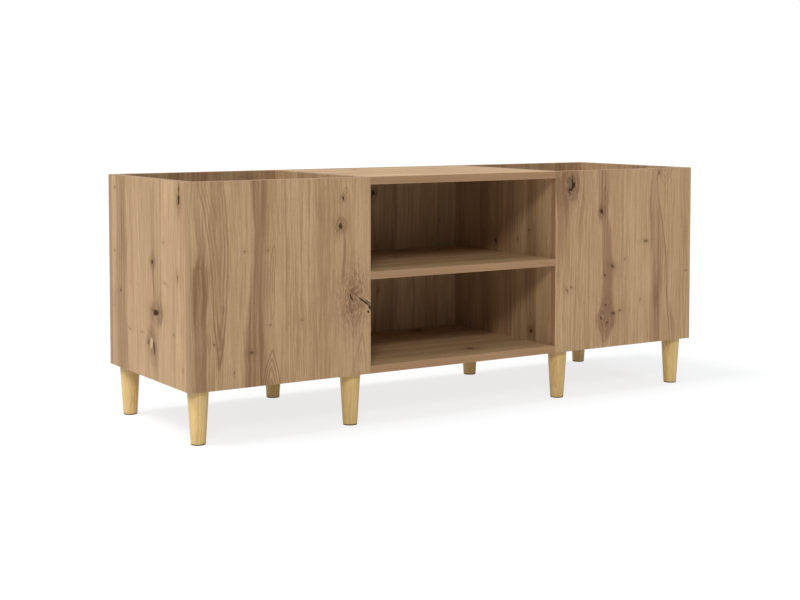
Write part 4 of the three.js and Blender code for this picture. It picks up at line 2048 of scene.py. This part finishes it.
@dataclass
class Studio:
    """The camera, the pale floor and the soft light."""

    eye: tuple[float, float, float] = (-1.7028, -2.6144, 0.6136)
    azimuth_degrees: float = 32.495
    dip_degrees: float = 3.396
    lens_mm: float = 66.87
    sensor_mm: float = 36.0
    shift_px: float = -105.0
    frame_width_px: float = 800.0
    sight: float = 200.0
    lamps: tuple[Lamp, ...] = (
        Lamp("left_window", towards=(-0.47, 0.10, 0.88), strength=2.28, width_degrees=22),
        Lamp("front_window", towards=(-0.469, -0.690, 0.552), strength=1.14, width_degrees=14),
        Lamp("overhead", towards=(0.0, 0.0, 1.0), strength=0.82, width_degrees=60),
    )
    floor_half: float = 30.0
    floor_drop: float = 0.05 * MM
    floor_colour: Colour = linear(225, 225, 225)
    floor_lift: float = 0.72
    # Share of white glow that the floor gives to every ray but camera rays. This painted glow lights the legs
    # and underside from below, in place of light bounced off the floor.
    floor_glow_share: float = 0.27
    floor_glow: float = 1.08
    sky_colour: Colour = (0.86, 1.0, 1.18, 1.0)
    ambient: float = 0.24
    gloss_level: float = 0.6

    def build(self) -> None:
        """Adds the camera, the lamps, the world and the floor."""
        self._camera()
        for lamp in self.lamps:
            lamp.build()
        self._world()
        self._floor()
        bpy.context.scene.view_settings.view_transform = "Standard"

    def _camera(self) -> None:
        """The camera, at the photograph's viewing angle."""
        data = bpy.data.cameras.new("camera")
        data.sensor_fit = "HORIZONTAL"
        data.sensor_width = self.sensor_mm
        data.lens = self.lens_mm
        data.shift_y = self.shift_px / self.frame_width_px
        data.clip_end = self.sight
        azimuth, dip = math.radians(self.azimuth_degrees), math.radians(self.dip_degrees)
        ahead = Vector((math.sin(azimuth) * math.cos(dip), math.cos(azimuth) * math.cos(dip), -math.sin(dip)))
        camera = add_object("camera", data)
        camera.location = self.eye
        camera.rotation_mode = "QUATERNION"
        camera.rotation_quaternion = ahead.to_track_quat("-Z", "Y")
        bpy.context.scene.camera = camera

    def _world(self) -> None:
        """A soft even sky, a little cool, that shows as white behind the cabinet and in its gloss."""
        world = bpy.data.worlds.new("studio")
        world.use_nodes = True
        world.node_tree.nodes.clear()
        wires = Wiring(world.node_tree)
        path = wires.add("ShaderNodeLightPath", {}).outputs
        seen = wires.math("MAXIMUM", path["Is Camera Ray"], path["Is Transmission Ray"])
        gloss = wires.math("MULTIPLY", path["Is Glossy Ray"], self.gloss_level)
        strength = wires.math("MAXIMUM", wires.math("MAXIMUM", seen, gloss), self.ambient)
        tint = wires.mix(seen, self.sky_colour, WHITE)
        sky = wires.add("ShaderNodeBackground", {"Color": tint, "Strength": strength})
        wires.add("ShaderNodeOutputWorld", {"Surface": sky.outputs[0]})
        bpy.context.scene.world = world

    def _floor(self) -> None:
        """A plain pale floor that the camera sees as white, with the cabinet's shadow on it.

        It glows a little, so that its shaded part still lights the legs. From below it is clear,
        so that the cabinet's underside shows.
        """
        half, level = self.floor_half, -self.floor_drop
        places = np.array([(-half, -half), (half, -half), (half, half), (-half, half)])
        points = np.column_stack([places, np.full(len(places), level)])
        floor = new_piece("studio_floor", points, [(0, 1, 2, 3)])
        finish = Finish("pale_floor")
        wires = finish.wires
        path = wires.add("ShaderNodeLightPath", {}).outputs["Is Camera Ray"]
        # The camera sees the floor lifted towards white. Other rays meet a weaker painted glow that lights
        # the cabinet from below.
        lift = wires.math("MULTIPLY_ADD", path, self.floor_lift - self.floor_glow_share, self.floor_glow_share)
        matt = wires.add("ShaderNodeBsdfDiffuse", {"Color": self.floor_colour})
        white = wires.add("ShaderNodeEmission", {"Color": WHITE, "Strength": self.floor_glow})
        above = wires.add("ShaderNodeMixShader", {0: lift, 1: matt.outputs[0], 2: white.outputs[0]})
        below = wires.add("ShaderNodeBsdfTransparent", {"Color": WHITE})
        side = wires.add("ShaderNodeNewGeometry", {}).outputs["Backfacing"]
        seen_below = wires.math("MULTIPLY", side, path)
        both = wires.add("ShaderNodeMixShader", {0: seen_below, 1: above.outputs[0], 2: below.outputs[0]})
        wires.add("ShaderNodeOutputMaterial", {"Surface": both.outputs[0]})
        floor.data.materials.append(finish.material)


@dataclass
class RecordCabinet:
    """The whole cabinet, built from its sub-assemblies."""

    nodes: dict[str, bpy.types.Object]
    bins: tuple[Bin, ...] = (
        Bin(
            Hand.LEFT, front=LEFT_FRONT, back=LEFT_BACK, outer=LEFT_SIDE, inner=LEFT_INNER,
            bottom=LEFT_BOTTOM,
        ),
        Bin(
            Hand.RIGHT, front=RIGHT_FRONT, back=RIGHT_BACK, outer=RIGHT_OUTER, inner=MIDDLE_WALL,
            bottom=RIGHT_BOTTOM,
        ),
    )

    def build(self) -> None:
        """Builds the sub-assemblies in order."""
        finishes = Finishes()
        fittings = Fittings(self.nodes)
        for record_bin in self.bins:
            hand = record_bin.hand
            record_bin.build(finishes, fittings.stud_bores(hand), fittings.insert_bores(hand))
        MiddleSection().build(finishes, fittings)
        for name in sorted(self.nodes):
            if name.startswith("leg_"):
                Leg(name.removeprefix("leg_")).build(finishes)
        fittings.dress(finishes)


def main() -> None:
    """Loads the frame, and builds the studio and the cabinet."""
    logging.basicConfig(level=logging.INFO, format="%(name)s: %(message)s")
    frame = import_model()
    Studio().build()
    RecordCabinet(frame["nodes"]).build()


if __name__ == "__main__":
    main()
